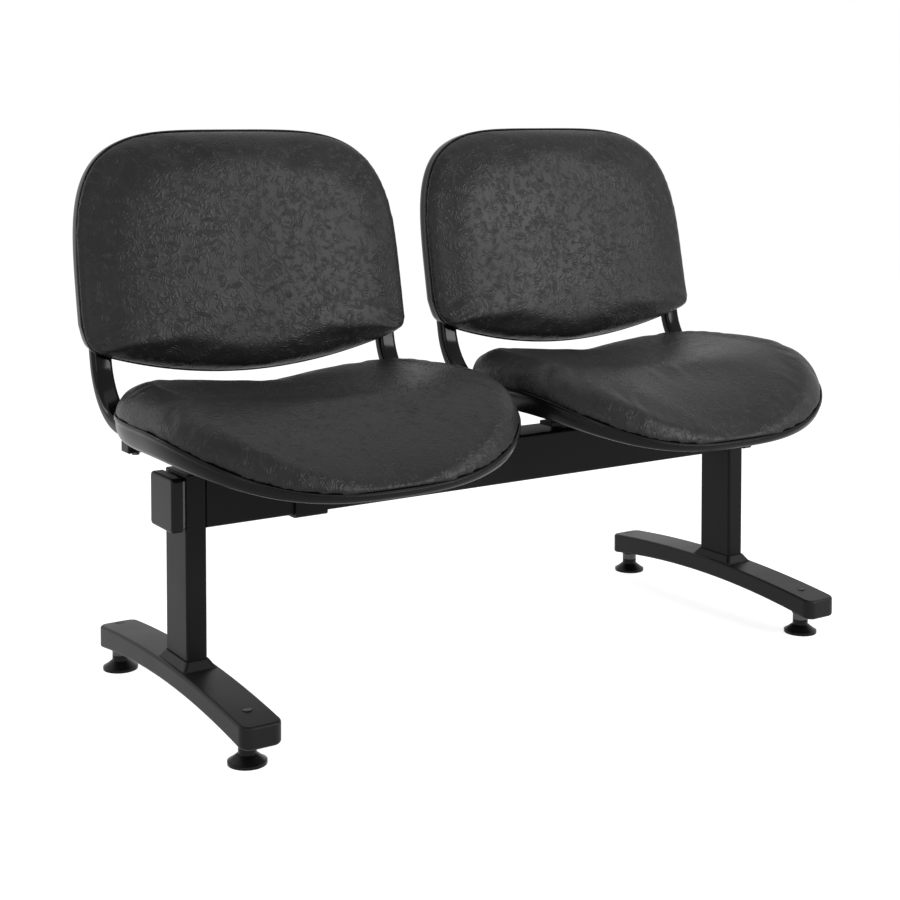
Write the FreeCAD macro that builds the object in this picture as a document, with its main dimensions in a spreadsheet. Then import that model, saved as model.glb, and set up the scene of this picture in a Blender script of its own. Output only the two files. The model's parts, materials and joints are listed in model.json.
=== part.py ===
import FreeCAD, Part
import math
import os
import re

import Sketcher
from FreeCAD import Rotation, Vector

# Two upholstered seats side by side on one beam with two T-shaped legs, in millimetres.
# +X runs along the beam, the seats face -Y, +Z is up and the glides stand on z = 0.

# Driving dimensions, each with its name, its value and what it measures
SIZES = (
    ("leg_spacing", 970, "between the middles of the two columns"),
    ("chair_pitch", 590, "between the middles of the two seats"),
    ("slip_gap", 0.3, "room on each side of a piece that slips into another"),
    ("column_wide", 30, "column along the beam"),
    ("column_deep", 70, "column from front to back"),
    ("column_wall", 3, "column wall"),
    ("column_radius", 4, "column corner"),
    ("column_over", 1, "column above the beam's top"),
    ("column_cap_flange", 3, "plug on the column, part that shows"),
    ("column_cap_lug", 2.5, "plug on the column, part inside"),
    ("column_plate", 8, "threaded plate in the column's lower end"),
    ("collar_tall", 10, "collar at the column's foot"),
    ("collar_top_rim", 2, "collar rim round the column, upper edge"),
    ("collar_low_rim", 9, "collar rim round the column, lower edge"),
    ("beam_low", 266, "beam's underside above the floor"),
    ("beam_tall", 70, "beam height"),
    ("beam_deep", 70, "beam from front to back"),
    ("beam_wall", 3, "beam wall"),
    ("beam_radius", 4, "beam corner"),
    ("spigot_wall", 4, "spigot wall"),
    ("spigot_hold", 80, "spigot length inside the beam"),
    ("end_gap", 5, "open gap between column and end cap"),
    ("end_cap_thick", 16, "end cap along the beam"),
    ("end_cap_over", 1.5, "end cap beyond the beam's faces"),
    ("end_cap_seat", 8, "depth of the cap's pocket for the spigot"),
    ("end_cap_lug", 12, "end cap lug inside the spigot"),
    ("end_cap_radius", 6, "end cap edges"),
    ("foot_front", 233, "foot in front of the column's middle"),
    ("foot_rear", 257, "foot behind the column's middle"),
    ("foot_wide", 58, "foot width"),
    ("foot_crown", 79, "foot's highest point above the floor"),
    ("foot_crown_back", 24.7, "highest point behind the column's middle"),
    ("foot_front_top", 63, "foot's top at its front end"),
    ("foot_rear_top", 66, "foot's top at its rear end"),
    ("foot_arch", 52, "middle of the foot's underside above the floor"),
    ("foot_low", 33, "underside of the foot's ends above the floor"),
    ("foot_end_radius", 14, "rounded corners of the foot, seen from above"),
    ("foot_edge_radius", 4, "rounded long edges of the foot"),
    ("glide_front", 185, "front glide in front of the column's middle"),
    ("glide_rear", 241, "rear glide behind the column's middle"),
    ("glide_pad_across", 51, "pad diameter on the floor"),
    ("glide_pad_rim", 4, "height of the pad's rim"),
    ("glide_cone_tall", 13, "height of the pad's cone, rim included"),
    ("glide_boss_across", 24, "round neck of the pad"),
    ("glide_boss_tall", 21, "height of the pad's neck above the floor"),
    ("stud_across", 10, "levelling stud"),
    ("stud_low", 7, "stud's lower end above the floor"),
    ("stud_long", 50, "stud length"),
    ("thread_gap", 0.05, "running room round the stud, on the radius"),
    ("nut_tall", 10, "lock ring on the stud"),
    ("boss_across", 27, "seat for the lock ring under the foot"),
    ("foot_bolt_across", 8, "bolt between foot and column"),
    ("foot_bolt_apart", 36, "between the two bolts of a column"),
    ("foot_bolt_head", 13, "bolt head"),
    ("foot_bolt_head_tall", 8, "bolt head height"),
    ("foot_bolt_bed", 60, "bolt head's seat above the floor"),
    ("foot_plug_across", 13, "plug over the stud's hole"),
    ("foot_plug_deep", 2.5, "plug's bed below the foot's surface"),
    ("leg_screw_across", 6, "screw between column and spigot"),
    ("leg_screw_apart", 36, "between a column's two screws"),
    ("leg_screw_head", 11, "screw head"),
    ("leg_screw_head_tall", 3.3, "screw head height"),
    ("plate_half", 184, "half the length of a seat's mounting plate"),
    ("plate_deep", 30, "mounting plate from front to back"),
    ("plate_forward", 10, "plate's middle in front of the beam's middle"),
    ("plate_thick", 6, "mounting plate"),
    ("pad_tall", 5, "pad between beam and mounting plate"),
    ("block_tall", 9.7, "block between mounting plate and bearer"),
    ("bearer_out", 150, "bearer's middle beside the seat's middle"),
    ("bearer_wide", 25, "bearer width"),
    ("bearer_front", 60, "bearer in front of the beam's middle"),
    ("rail_tall", 18, "height of rail and bearers"),
    ("rail_wall", 2, "wall of rail and bearers"),
    ("rail_deep", 26, "rear rail from front to back"),
    ("rail_back", 77, "rear rail's middle behind the beam's middle"),
    ("rail_half", 243, "half the length of the rear rail's tube"),
    ("rail_plug_flange", 3, "rail plug, part that shows"),
    ("rail_plug_lug", 8, "rail plug, part inside"),
    ("mount_bolt_across", 8, "bolt through bearer, plate and beam"),
    ("mount_bolt_head", 13, "its head"),
    ("mount_bolt_head_tall", 6, "its head height"),
    ("seat_screw_across", 6, "screw between bearer and seat board"),
    ("seat_screw_head", 11, "its head"),
    ("seat_screw_head_tall", 4, "its head height"),
    ("seat_screw_front", 40, "front screws in front of the beam's middle"),
    ("seat_screw_back", 35, "rear screws behind the beam's middle"),
    ("rail_screw_out", 230, "screws between rail and side tubes, beside the seat's middle"),
    ("tube_out", 236, "side tube's middle beside the seat's middle"),
    ("tube_wide", 30, "side tube across the seat"),
    ("tube_thick", 20, "side tube along its bend"),
    ("tube_round", 7, "side tube's rounded corners"),
    ("tube_wall", 2, "side tube wall"),
    ("tube_front", 125, "side tube's front end in front of the beam's middle"),
    ("tube_bend_back", 91.5, "where the side tube starts to bend up"),
    ("tube_bend", 100, "bend of the side tube, at its middle"),
    ("tube_top", 690, "side tube's upper end above the floor"),
    ("back_lean", 11.4, "lean of the back, degrees"),
    ("seat_half", 276, "half the seat's width"),
    ("seat_middle", 37, "seat's widest line in front of the beam's middle"),
    ("seat_reach", 218, "seat's front and rear edge from that line"),
    ("seat_squareness", 2.686, "front half: 1 is a diamond, 2 an ellipse, more is squarer"),
    ("seat_squareness_rear", 3, "rear half"),
    ("tube_notch", 92, "where the shell opens for the side tubes, behind the beam's middle"),
    ("rim_level", 412, "seam between seat cushion and seat shell"),
    ("rim_drop", 75, "how far the seam falls to the front edge"),
    ("rim_drop_start", 40, "where it starts to fall, in front of the beam"),
    ("seat_shell_wall", 3, "wall of the seat shell"),
    ("seat_shell_deep", 36.5, "shell's depth under the seam"),
    ("seat_shell_lip", 18, "shell's depth at the front edge"),
    ("seam_gap", 0.4, "dark gap between cushion and shell"),
    ("seat_bolster", 34, "cushion above the seam, at its sides"),
    ("seat_hollow", 22, "cushion above the seam, in the middle"),
    ("seat_board_thick", 13.7, "seat board"),
    ("seat_board_half", 248, "half the width of the seat board"),
    ("seat_board_tail", 170, "half the width of its rear edge"),
    ("seat_board_front", 50, "board in front of the beam's middle"),
    ("seat_board_waist", 50, "where the board starts to narrow"),
    ("seat_board_back", 145, "board's rear edge behind the beam's middle"),
    ("back_half", 267, "half the back's width"),
    ("back_top", 798, "top of the back above the floor"),
    ("back_low", 437, "lowest point of the back above the floor"),
    ("back_corner", 484, "lower corners of the back above the floor"),
    ("back_corner_half", 262, "half the width between the lower corners"),
    ("back_shoulder", 520, "where the upper outline starts"),
    ("back_squareness", 4.1, "upper corners, more is squarer"),
    ("back_seam_back", 212, "seam behind the beam's middle, 600 above the floor"),
    ("back_wrap_top", 12, "how far the sides come forward, above"),
    ("back_wrap_low", 22, "how far the sides come forward, below"),
    ("back_shell_wall", 3, "wall of the back shell"),
    ("back_shell_deep", 33, "shell's depth behind the seam, in the middle"),
    ("back_shell_side", 30, "shell's depth behind the seam, at the sides"),
    ("back_shell_corner", 36, "shell's depth behind the seam, at the lower corners"),
    ("back_cushion_mid", 38, "cushion in front of the seam, in the middle"),
    ("back_cushion_edge", 22, "cushion in front of the seam, at the sides"),
    ("back_board_thick", 9, "back board"),
    ("back_board_half", 214, "half the width of the back board"),
    ("back_board_low", 500, "back board's lower edge above the floor"),
    ("back_board_top", 745, "back board's upper edge above the floor"),
    ("back_screw_out", 150, "back screws beside the seat's middle"),
    ("back_screw_low", 540, "lower back screws above the floor"),
    ("back_screw_high", 665, "upper back screws above the floor"),
    ("back_screw_across", 5, "back screw"),
    ("back_screw_head", 10, "its head"),
    ("back_screw_head_tall", 3, "its head height"),
    ("origin_shift", 0, "moves every sub-part so that the origin is under the middle"),
    ("strap_side", 313, "strap's middle from the bench's middle"),
    ("strap_wide", 50, "strap along the beam"),
    ("strap_thick", 4, "strap"),
    ("strap_radius", 5, "strap's outer bends"),
    ("strap_above", 26, "strap's ends above the beam"),
    ("strap_bolt_across", 8, "bolt that closes the strap"),
    ("strap_bolt_head", 13, "its head and nut"),
    ("strap_bolt_head_tall", 5.5, "its head and nut height"),
)

doc = FreeCAD.newDocument("beam_seating")
sheet = doc.addObject("Spreadsheet::Sheet", "Sizes")
for row, (alias, value, note) in enumerate(SIZES, start=1):
    sheet.set(f"A{row}", note)
    sheet.set(f"B{row}", str(value))
    sheet.setAlias(f"B{row}", alias)
doc.recompute()
names = {alias for alias, value, note in SIZES}


class Values:
    """The sheet's numbers, read back by name."""

    def __getattr__(self, alias):
        return float(sheet.get(alias))


v = Values()


def bound(text):
    """The expression with each size's name pointing to its cell."""
    return re.sub(r"[a-z_]+", lambda word: "Sizes." + word[0] if word[0] in names else word[0], str(text))


def bind(item, **expressions):
    """Ties the item's properties to the sheet."""
    for name, text in expressions.items():
        item.setExpression(name, bound(text))
    return item


def place(item, x=0, y=0, z=0):
    """Ties the item's place to the sheet."""
    for axis, text in (("x", x), ("y", y), ("z", z)):
        if text:
            item.setExpression("Placement.Base." + axis, bound(text))
    return item


# Sums used in more than one place
BEAM_TOP = "(beam_low + beam_tall)"
BEAM_MIDDLE = "(beam_low + beam_tall / 2)"
COLUMN_TOP = "(beam_low + beam_tall + column_over)"
SPIGOT = "(beam_tall - 2 * beam_wall - 2 * slip_gap)"
SPIGOT_DEEP = "(beam_deep - 2 * beam_wall - 2 * slip_gap)"
PLATE_LOW = "(beam_low + beam_tall + pad_tall)"
BEARER_LOW = "(beam_low + beam_tall + pad_tall + plate_thick + block_tall)"
TUBE_LEVEL = "(rim_level - slip_gap - seat_board_thick - tube_thick / 2)"
NUT_LOW = "(glide_boss_tall + slip_gap)"
NUT_TOP = "(glide_boss_tall + slip_gap + nut_tall)"

parts = []


def keep(item, label):
    """Counts the item as a sub-part under this name and ties it to the origin."""
    tied = {path.strip("."): text for path, text in item.ExpressionEngine}
    item.setExpression("Placement.Base.y", tied.get("Placement.Base.y", "0") + " + Sizes.origin_shift")
    item.Label = label
    parts.append(item)
    return item


# Solids from plain shapes

def box(name, long, deep, tall, x=0, y=0, z=0):
    """A block whose middle in x and y, and underside in z, are given."""
    item = bind(doc.addObject("Part::Box", name), Length=long, Width=deep, Height=tall)
    return place(item, f"{x} - ({long}) / 2", f"{y} - ({deep}) / 2", z)


def rod(name, across, long, x=0, y=0, z=0, along="z"):
    """A round bar from its start point along an axis."""
    item = bind(doc.addObject("Part::Cylinder", name), Radius=f"({across}) / 2", Height=long)
    if along == "y":
        item.Placement.Rotation = Rotation(Vector(1, 0, 0), -90)
    return place(item, x, y, z)


def hexagon(name, across, tall, x=0, y=0, z=0, along="z"):
    """A six-sided bar from its start point along an axis."""
    item = bind(doc.addObject("Part::Prism", name), Circumradius=f"({across}) / 2", Height=tall)
    item.Polygon = 6
    if along == "y":
        item.Placement.Rotation = Rotation(Vector(1, 0, 0), -90)
    return place(item, x, y, z)


def joined(name, items):
    item = doc.addObject("Part::MultiFuse", name)
    item.Shapes = items
    return item


def less(name, base, tools):
    """The base with the tools cut out of it."""
    item = doc.addObject("Part::Cut", name)
    item.Base = base
    item.Tool = tools[0] if len(tools) == 1 else joined(name + "_tools", tools)
    return item


def group(name, items):
    """Several loose solids in one sub-part."""
    item = doc.addObject("Part::Compound", name)
    item.Links = items
    return item


# Bodies from sketches

def plane_of(body, role):
    return next(item for item in body.Origin.OriginFeatures if item.Role == role)


def sketch_on(body, name, role, offset=0):
    """A sketch on one of the body's own planes, moved along its normal."""
    sketch = body.newObject("Sketcher::SketchObject", name)
    sketch.AttachmentSupport = [(plane_of(body, role), "")]
    sketch.MapMode = "FlatFace"
    if offset:
        sketch.setExpression("AttachmentOffset.Base.z", bound(offset))
    return sketch


def drawn(sketch, kind, args):
    """A dimension as the sketch has it so far."""
    if kind == "Radius":
        return sketch.Geometry[args[0]].Radius
    if kind == "Diameter":
        return sketch.Geometry[args[0]].Radius * 2
    step = sketch.getPoint(*args[2:]) - sketch.getPoint(*args[:2])
    return step.x if kind == "DistanceX" else step.y


def size(sketch, kind, args, text):
    """A dimension in a sketch, tied to the sheet."""
    index = sketch.addConstraint(Sketcher.Constraint(kind, *args, drawn(sketch, kind, args)))
    sketch.setExpression(f"Constraints[{index}]", bound(text))


def rectangle(sketch, wide, tall, x="0", y="0"):
    """A rectangle about a point, all four sides tied to the sheet."""
    half_wide, half_tall = 10.0, 6.0
    corners = ((-1, -1), (1, -1), (1, 1), (-1, 1))
    points = [Vector(a * half_wide, b * half_tall, 0) for a, b in corners]
    first = sketch.GeometryCount
    for i in range(4):
        sketch.addGeometry(Part.LineSegment(points[i], points[(i + 1) % 4]), False)
    for i in range(4):
        sketch.addConstraint(Sketcher.Constraint("Coincident", first + i, 2, first + (i + 1) % 4, 1))
    for i, kind in enumerate(("Horizontal", "Vertical") * 2):
        sketch.addConstraint(Sketcher.Constraint(kind, first + i))
    size(sketch, "DistanceX", (first, 1, first, 2), wide)
    size(sketch, "DistanceY", (first + 1, 1, first + 1, 2), tall)
    size(sketch, "DistanceX", (-1, 1, first, 2), f"{x} + ({wide}) / 2")
    size(sketch, "DistanceY", (-1, 1, first + 1, 2), f"{y} + ({tall}) / 2")


def circle(sketch, across, x="0", y="0"):
    first = sketch.addGeometry(Part.Circle(Vector(1, 1, 0), Vector(0, 0, 1), 2), False)
    size(sketch, "Diameter", (first,), across)
    for kind, text in (("DistanceX", x), ("DistanceY", y)):
        size(sketch, kind, (-1, 1, first, 3), text)


def pad(body, sketch, name, length, midplane=False, back=False):
    feature = body.newObject("PartDesign::Pad", name)
    feature.Profile = sketch
    feature.Midplane = midplane
    feature.Reversed = back
    return bind(feature, Length=length)


def pocket(body, sketch, name, length=None, back=False):
    """A cut along the sketch's normal or against it, or both ways right through."""
    feature = body.newObject("PartDesign::Pocket", name)
    feature.Profile = sketch
    if length is None:
        feature.Type = "ThroughAll"
        feature.Midplane = True
    else:
        bind(feature, Length=length)
    feature.Reversed = back
    return feature


def rounded(body, name, radius, wanted):
    """Rounds the edges of the body's solid that the test picks."""
    doc.recompute()
    base = body.Tip
    picked = [f"Edge{i}" for i, edge in enumerate(base.Shape.Edges, start=1) if wanted(edge)]
    feature = body.newObject("PartDesign::Fillet", name)
    feature.Base = (base, picked)
    return bind(feature, Radius=radius)


def runs_along(edge, axis, corner=None):
    """Whether an edge is straight along an axis, and at these absolute coordinates."""
    if not isinstance(edge.Curve, Part.Line):
        return False
    if abs(abs(edge.tangentAt(edge.FirstParameter).dot(axis)) - 1) > 1e-6:
        return False
    point = edge.CenterOfMass
    wanted = corner or {}
    return all(abs(abs(getattr(point, key)) - value) < 0.01 for key, value in wanted.items())


X, Y, Z = Vector(1, 0, 0), Vector(0, 1, 0), Vector(0, 0, 1)
SIDES = (("left", -1), ("right", 1))
ENDS = (("front", -1), ("rear", 1))
GLIDES_ALONG = ("-glide_front", "glide_rear")
STRAP_BOLT = f"({PLATE_LOW} + plate_thick + strap_bolt_across / 2 + slip_gap)"
BEARER_BACK = "(rail_back - rail_deep / 2 - slip_gap)"
BEARER_LONG = "(bearer_front + rail_back - rail_deep / 2 - slip_gap)"
BOARD_LOW = "(rim_level - slip_gap - seat_board_thick)"
BEND_UP = f"({TUBE_LEVEL} + tube_bend * (1 - sin(back_lean * 1deg)))"
BOLT_PLACES = [f"{sign} * chair_pitch / 2 + {way} * bearer_out" for side, sign in SIDES for end, way in SIDES]


def upright(height):
    """The side tube's middle behind the beam at a height, in its straight upper part."""
    return (f"(tube_bend_back + tube_bend * cos(back_lean * 1deg)"
            f" + tan(back_lean * 1deg) * ({height} - {BEND_UP}))")


def level(edge, height):
    """Whether an edge lies flat at this height."""
    box_of = edge.BoundBox
    return abs(box_of.ZMin - height) < 0.01 and abs(box_of.ZMax - height) < 0.01


def turn(body, sign):
    """Turns a body that points along +X to the other end of the beam."""
    if sign < 0:
        body.Placement.Rotation = Rotation(Y, 180)


def foot_top():
    """Three points of the foot's upper curve, seen from the side."""
    return (-v.foot_front, v.foot_front_top), (v.foot_crown_back, v.foot_crown), (v.foot_rear, v.foot_rear_top)


def foot_underside():
    """Three points of the foot's lower curve, seen from the side."""
    return (-v.foot_front, v.foot_low), (v.foot_crown_back, v.foot_arch), (v.foot_rear, v.foot_low)


def plug_places():
    """The plugs' ends, places along the foot and heights of the foot's top there."""
    return [(end, along, arch_height(foot_top(), y))
            for (end, way), along, y in zip(ENDS, GLIDES_ALONG, (-v.glide_front, v.glide_rear))]


def column(side, sign):
    """A rectangular tube with a window for the spigot and holes for its two screws."""
    body = doc.addObject("PartDesign::Body", f"column_{side}")
    outline = sketch_on(body, f"column_{side}_section", "XY_Plane")
    rectangle(outline, "column_wide", "column_deep")
    pad(body, outline, f"column_{side}_tube", f"{COLUMN_TOP} - foot_crown")
    corner = {"x": v.column_wide / 2, "y": v.column_deep / 2}
    rounded(body, f"column_{side}_corners", "column_radius", lambda edge: runs_along(edge, Z, corner))
    bore = sketch_on(body, f"column_{side}_bore_outline", "XY_Plane")
    rectangle(bore, "column_wide - 2 * column_wall", "column_deep - 2 * column_wall")
    pocket(body, bore, f"column_{side}_bore")
    window = sketch_on(body, f"column_{side}_window_outline", "YZ_Plane")
    rectangle(window, f"{SPIGOT_DEEP} + 2 * slip_gap", f"{SPIGOT} + 2 * slip_gap", "0", f"{BEAM_MIDDLE} - foot_crown")
    pocket(body, window, f"column_{side}_window")
    holes = sketch_on(body, f"column_{side}_screw_holes", "XZ_Plane")
    for way in (-1, 1):
        height = f"{BEAM_MIDDLE} - foot_crown + {way} * leg_screw_apart / 2"
        circle(holes, "leg_screw_across + 2 * slip_gap", "0", height)
    pocket(body, holes, f"column_{side}_screw_bores", "column_deep")
    place(body, f"{sign} * leg_spacing / 2", 0, "foot_crown")
    keep(body, f"column_{side}")


def column_plate(side, sign):
    """The threaded plate welded into the column's lower end."""
    middle = f"{sign} * leg_spacing / 2"
    plate = box(f"column_plate_{side}_blank", "column_wide - 2 * column_wall - 2 * slip_gap",
                "column_deep - 2 * column_wall - 2 * slip_gap", "column_plate", middle, 0, "foot_crown")
    threads = [rod(f"column_plate_{side}_thread_{end}", "foot_bolt_across", "column_plate",
                   middle, f"{way} * foot_bolt_apart / 2", "foot_crown") for end, way in ENDS]
    keep(less(f"column_plate_{side}_part", plate, threads), f"column_plate_{side}")


def column_cap(side, sign):
    """The plug in the column's upper end."""
    body = doc.addObject("PartDesign::Body", f"column_cap_{side}")
    outline = sketch_on(body, f"column_cap_{side}_outline", "XY_Plane")
    rectangle(outline, "column_wide", "column_deep")
    pad(body, outline, f"column_cap_{side}_flange", "column_cap_flange")
    corner = {"x": v.column_wide / 2, "y": v.column_deep / 2}
    rounded(body, f"column_cap_{side}_corners", "column_radius", lambda edge: runs_along(edge, Z, corner))
    top = v.column_cap_flange
    rounded(body, f"column_cap_{side}_edge", "column_cap_flange / 2", lambda edge: level(edge, top))
    lug = sketch_on(body, f"column_cap_{side}_lug_outline", "XY_Plane")
    rectangle(lug, "column_wide - 2 * column_wall - 2 * slip_gap", "column_deep - 2 * column_wall - 2 * slip_gap")
    pad(body, lug, f"column_cap_{side}_lug", "column_cap_lug", back=True)
    place(body, f"{sign} * leg_spacing / 2", 0, COLUMN_TOP)
    keep(body, f"column_cap_{side}")


def collar(side, sign):
    """The tapered collar that covers the joint between column and foot."""
    body = doc.addObject("PartDesign::Body", f"collar_{side}")
    outline = sketch_on(body, f"collar_{side}_outline", "XY_Plane")
    rectangle(outline, "column_wide + 2 * collar_low_rim", "column_deep + 2 * collar_low_rim")
    block_pad = pad(body, outline, f"collar_{side}_block", "collar_tall")
    bind(block_pad, TaperAngle="-atan((collar_low_rim - collar_top_rim) / collar_tall)")
    tall = v.collar_tall
    rounded(body, f"collar_{side}_corners", "column_radius + collar_top_rim",
            lambda edge: edge.BoundBox.ZMax - edge.BoundBox.ZMin > tall * 0.9)
    hole = sketch_on(body, f"collar_{side}_hole_outline", "XY_Plane")
    rectangle(hole, "column_wide + 2 * slip_gap", "column_deep + 2 * slip_gap")
    pocket(body, hole, f"collar_{side}_hole")
    place(body, f"{sign} * leg_spacing / 2", 0, "foot_crown")
    keep(body, f"collar_{side}")


def circle_through(points):
    """Centre and radius of the circle through three points in a plane."""
    edge = Part.Arc(*(Vector(a, b, 0) for a, b in points)).toShape()
    return edge.Curve.Center, edge.Curve.Radius


def arch_height(points, y):
    """Height above y of the upper half of the circle through three points."""
    centre, radius = circle_through(points)
    return centre.y + math.sqrt(radius ** 2 - (y - centre.x) ** 2)


def arch(sketch, points):
    """An arc that bulges up through three points, from the last one to the first."""
    centre, radius = circle_through(points)
    angles = [math.atan2(point[1] - centre.y, point[0] - centre.x) for point in points]
    curve = Part.ArcOfCircle(Part.Circle(centre, Vector(0, 0, 1), radius), angles[2], angles[0])
    return sketch.addGeometry(curve, False)


def foot(side, sign):
    """An arched bar with rounded ends, seats for the lock rings and holes for bolts and glides."""
    body = doc.addObject("PartDesign::Body", f"foot_{side}")
    view = sketch_on(body, f"foot_{side}_side_view", "YZ_Plane")
    top, low = foot_top(), foot_underside()
    lower = arch(view, low)
    upper = arch(view, top)
    front_end = view.addGeometry(Part.LineSegment(Vector(*low[0], 0), Vector(*top[0], 0)), False)
    rear_end = view.addGeometry(Part.LineSegment(Vector(*low[2], 0), Vector(*top[2], 0)), False)
    for ends in ((lower, 2, front_end, 1), (upper, 2, front_end, 2), (lower, 1, rear_end, 1), (upper, 1, rear_end, 2)):
        view.addConstraint(Sketcher.Constraint("Coincident", *ends))
    corners = ((front_end, 1, "-foot_front", "foot_low"), (front_end, 2, "-foot_front", "foot_front_top"),
               (rear_end, 1, "foot_rear", "foot_low"), (rear_end, 2, "foot_rear", "foot_rear_top"))
    for line, end, along, up in corners:
        size(view, "DistanceX", (-1, 1, line, end), along)
        size(view, "DistanceY", (-1, 1, line, end), up)
    for curve, up in ((lower, "foot_arch"), (upper, "foot_crown")):
        crown = view.addGeometry(Part.Point(Vector(v.foot_crown_back, 60, 0)), True)
        size(view, "DistanceX", (-1, 1, crown, 1), "foot_crown_back")
        size(view, "DistanceY", (-1, 1, crown, 1), up)
        view.addConstraint(Sketcher.Constraint("PointOnObject", crown, 1, curve))
    pad(body, view, f"foot_{side}_bar", "foot_wide", midplane=True)
    rounded(body, f"foot_{side}_ends", "foot_end_radius", lambda edge: runs_along(edge, Z))
    seats = sketch_on(body, f"foot_{side}_seat_outlines", "XY_Plane", NUT_TOP)
    for along in GLIDES_ALONG:
        circle(seats, "boss_across", "0", along)
    pad(body, seats, f"foot_{side}_seats", "foot_low / 2")
    edge_length = v.foot_front
    rounded(body, f"foot_{side}_edges", "foot_edge_radius",
            lambda edge: edge.Length > edge_length or abs(edge.Length - math.pi / 2 * v.foot_end_radius) < 1)
    bench = sketch_on(body, f"foot_{side}_column_seat_outline", "XY_Plane", "foot_crown")
    rectangle(bench, "column_wide + 2 * collar_low_rim", "column_deep + 2 * collar_low_rim")
    pad(body, bench, f"foot_{side}_column_seat", "foot_edge_radius * 2", back=True)
    bores = sketch_on(body, f"foot_{side}_bore_outlines", "XY_Plane")
    for along in GLIDES_ALONG:
        circle(bores, "stud_across + 2 * thread_gap", "0", along)
    for end, way in ENDS:
        circle(bores, "foot_bolt_across + 2 * slip_gap", "0", f"{way} * foot_bolt_apart / 2")
    pocket(body, bores, f"foot_{side}_bores")
    beds = sketch_on(body, f"foot_{side}_head_beds", "XY_Plane", "foot_bolt_bed")
    for end, way in ENDS:
        circle(beds, "foot_bolt_head + 2", "0", f"{way} * foot_bolt_apart / 2")
    pocket(body, beds, f"foot_{side}_head_room", "foot_bolt_bed")
    for end, along, surface in plug_places():
        bed = sketch_on(body, f"foot_{side}_plug_bed_{end}", "XY_Plane", f"{surface} - foot_plug_deep")
        circle(bed, "foot_plug_across + 2 * slip_gap", "0", along)
        pocket(body, bed, f"foot_{side}_plug_room_{end}", "foot_plug_deep * 4", back=True)
    place(body, f"{sign} * leg_spacing / 2", 0, 0)
    keep(body, f"foot_{side}")


def glide(side, sign, end, along):
    """A pad on a levelling stud, which can be screwed out of the foot."""
    middle = f"{sign} * leg_spacing / 2"
    name = f"glide_{side}_{end}"
    rim = rod(f"{name}_rim", "glide_pad_across", "glide_pad_rim", middle, along)
    cone = bind(doc.addObject("Part::Cone", f"{name}_cone"), Radius1="glide_pad_across / 2 - 1",
                Radius2="glide_boss_across / 2 + 1", Height="glide_cone_tall - glide_pad_rim")
    place(cone, middle, along, "glide_pad_rim")
    neck = rod(f"{name}_neck", "glide_boss_across", "glide_boss_tall", middle, along)
    bore = rod(f"{name}_bore", "stud_across + 2 * thread_gap", "glide_boss_tall", middle, along, "stud_low")
    keep(less(f"{name}_pad_part", joined(f"{name}_solid", [rim, cone, neck]), [bore]), f"glide_pad_{side}_{end}")
    keep(rod(f"{name}_stud_bar", "stud_across", "stud_long", middle, along, "stud_low"), f"glide_stud_{side}_{end}")


def lock_rings():
    """The round nuts that lock the studs against the feet."""
    rings = []
    for side, sign in SIDES:
        for along in GLIDES_ALONG:
            middle = f"{sign} * leg_spacing / 2"
            name = f"lock_ring_{len(rings) + 1}"
            body = rod(f"{name}_body", "glide_boss_across", "nut_tall", middle, along, NUT_LOW)
            bore = rod(f"{name}_bore", "stud_across + 2 * thread_gap", "nut_tall", middle, along, NUT_LOW)
            rings.append(less(f"{name}_part", body, [bore]))
    keep(group("lock_rings", rings), "glide_lock_rings")


def foot_bolts():
    """The bolts that hold the columns on the feet, from below."""
    bolts = []
    for side, sign in SIDES:
        for end, way in ENDS:
            middle = f"{sign} * leg_spacing / 2"
            along = f"{way} * foot_bolt_apart / 2"
            name = f"foot_bolt_{side}_{end}"
            head = hexagon(f"{name}_head", "foot_bolt_head", "foot_bolt_head_tall", middle, along,
                           "foot_bolt_bed - foot_bolt_head_tall")
            shank = rod(f"{name}_shank", "foot_bolt_across", "foot_crown + column_plate - foot_bolt_bed",
                        middle, along, "foot_bolt_bed")
            bolts.append(joined(name, [head, shank]))
    keep(group("foot_bolts_group", bolts), "foot_bolts")


def foot_plugs():
    """The small plugs over the studs' holes in the feet."""
    plugs = []
    for side, sign in SIDES:
        for end, along, surface in plug_places():
            middle = f"{sign} * leg_spacing / 2"
            plugs.append(rod(f"foot_plug_{side}_{end}", "foot_plug_across", "foot_plug_deep + 0.4",
                             middle, along, f"{surface} - foot_plug_deep"))
    keep(group("foot_plugs_group", plugs), "foot_plugs")


def beam():
    """The square tube between the columns."""
    body = doc.addObject("PartDesign::Body", "beam_body")
    outline = sketch_on(body, "beam_section", "YZ_Plane")
    rectangle(outline, "beam_deep", "beam_tall")
    pad(body, outline, "beam_tube", "leg_spacing - column_wide", midplane=True)
    corner = {"y": v.beam_deep / 2, "z": v.beam_tall / 2}
    rounded(body, "beam_corners", "beam_radius", lambda edge: runs_along(edge, X, corner))
    bore = sketch_on(body, "beam_bore_outline", "YZ_Plane")
    rectangle(bore, "beam_deep - 2 * beam_wall", "beam_tall - 2 * beam_wall")
    pocket(body, bore, "beam_bore")
    holes = sketch_on(body, "beam_bolt_holes", "XY_Plane")
    for x in BOLT_PLACES:
        circle(holes, "mount_bolt_across", x, "-plate_forward")
    pocket(body, holes, "beam_bolt_bores", "beam_tall", back=True)
    place(body, 0, 0, BEAM_MIDDLE)
    keep(body, "beam")


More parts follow.
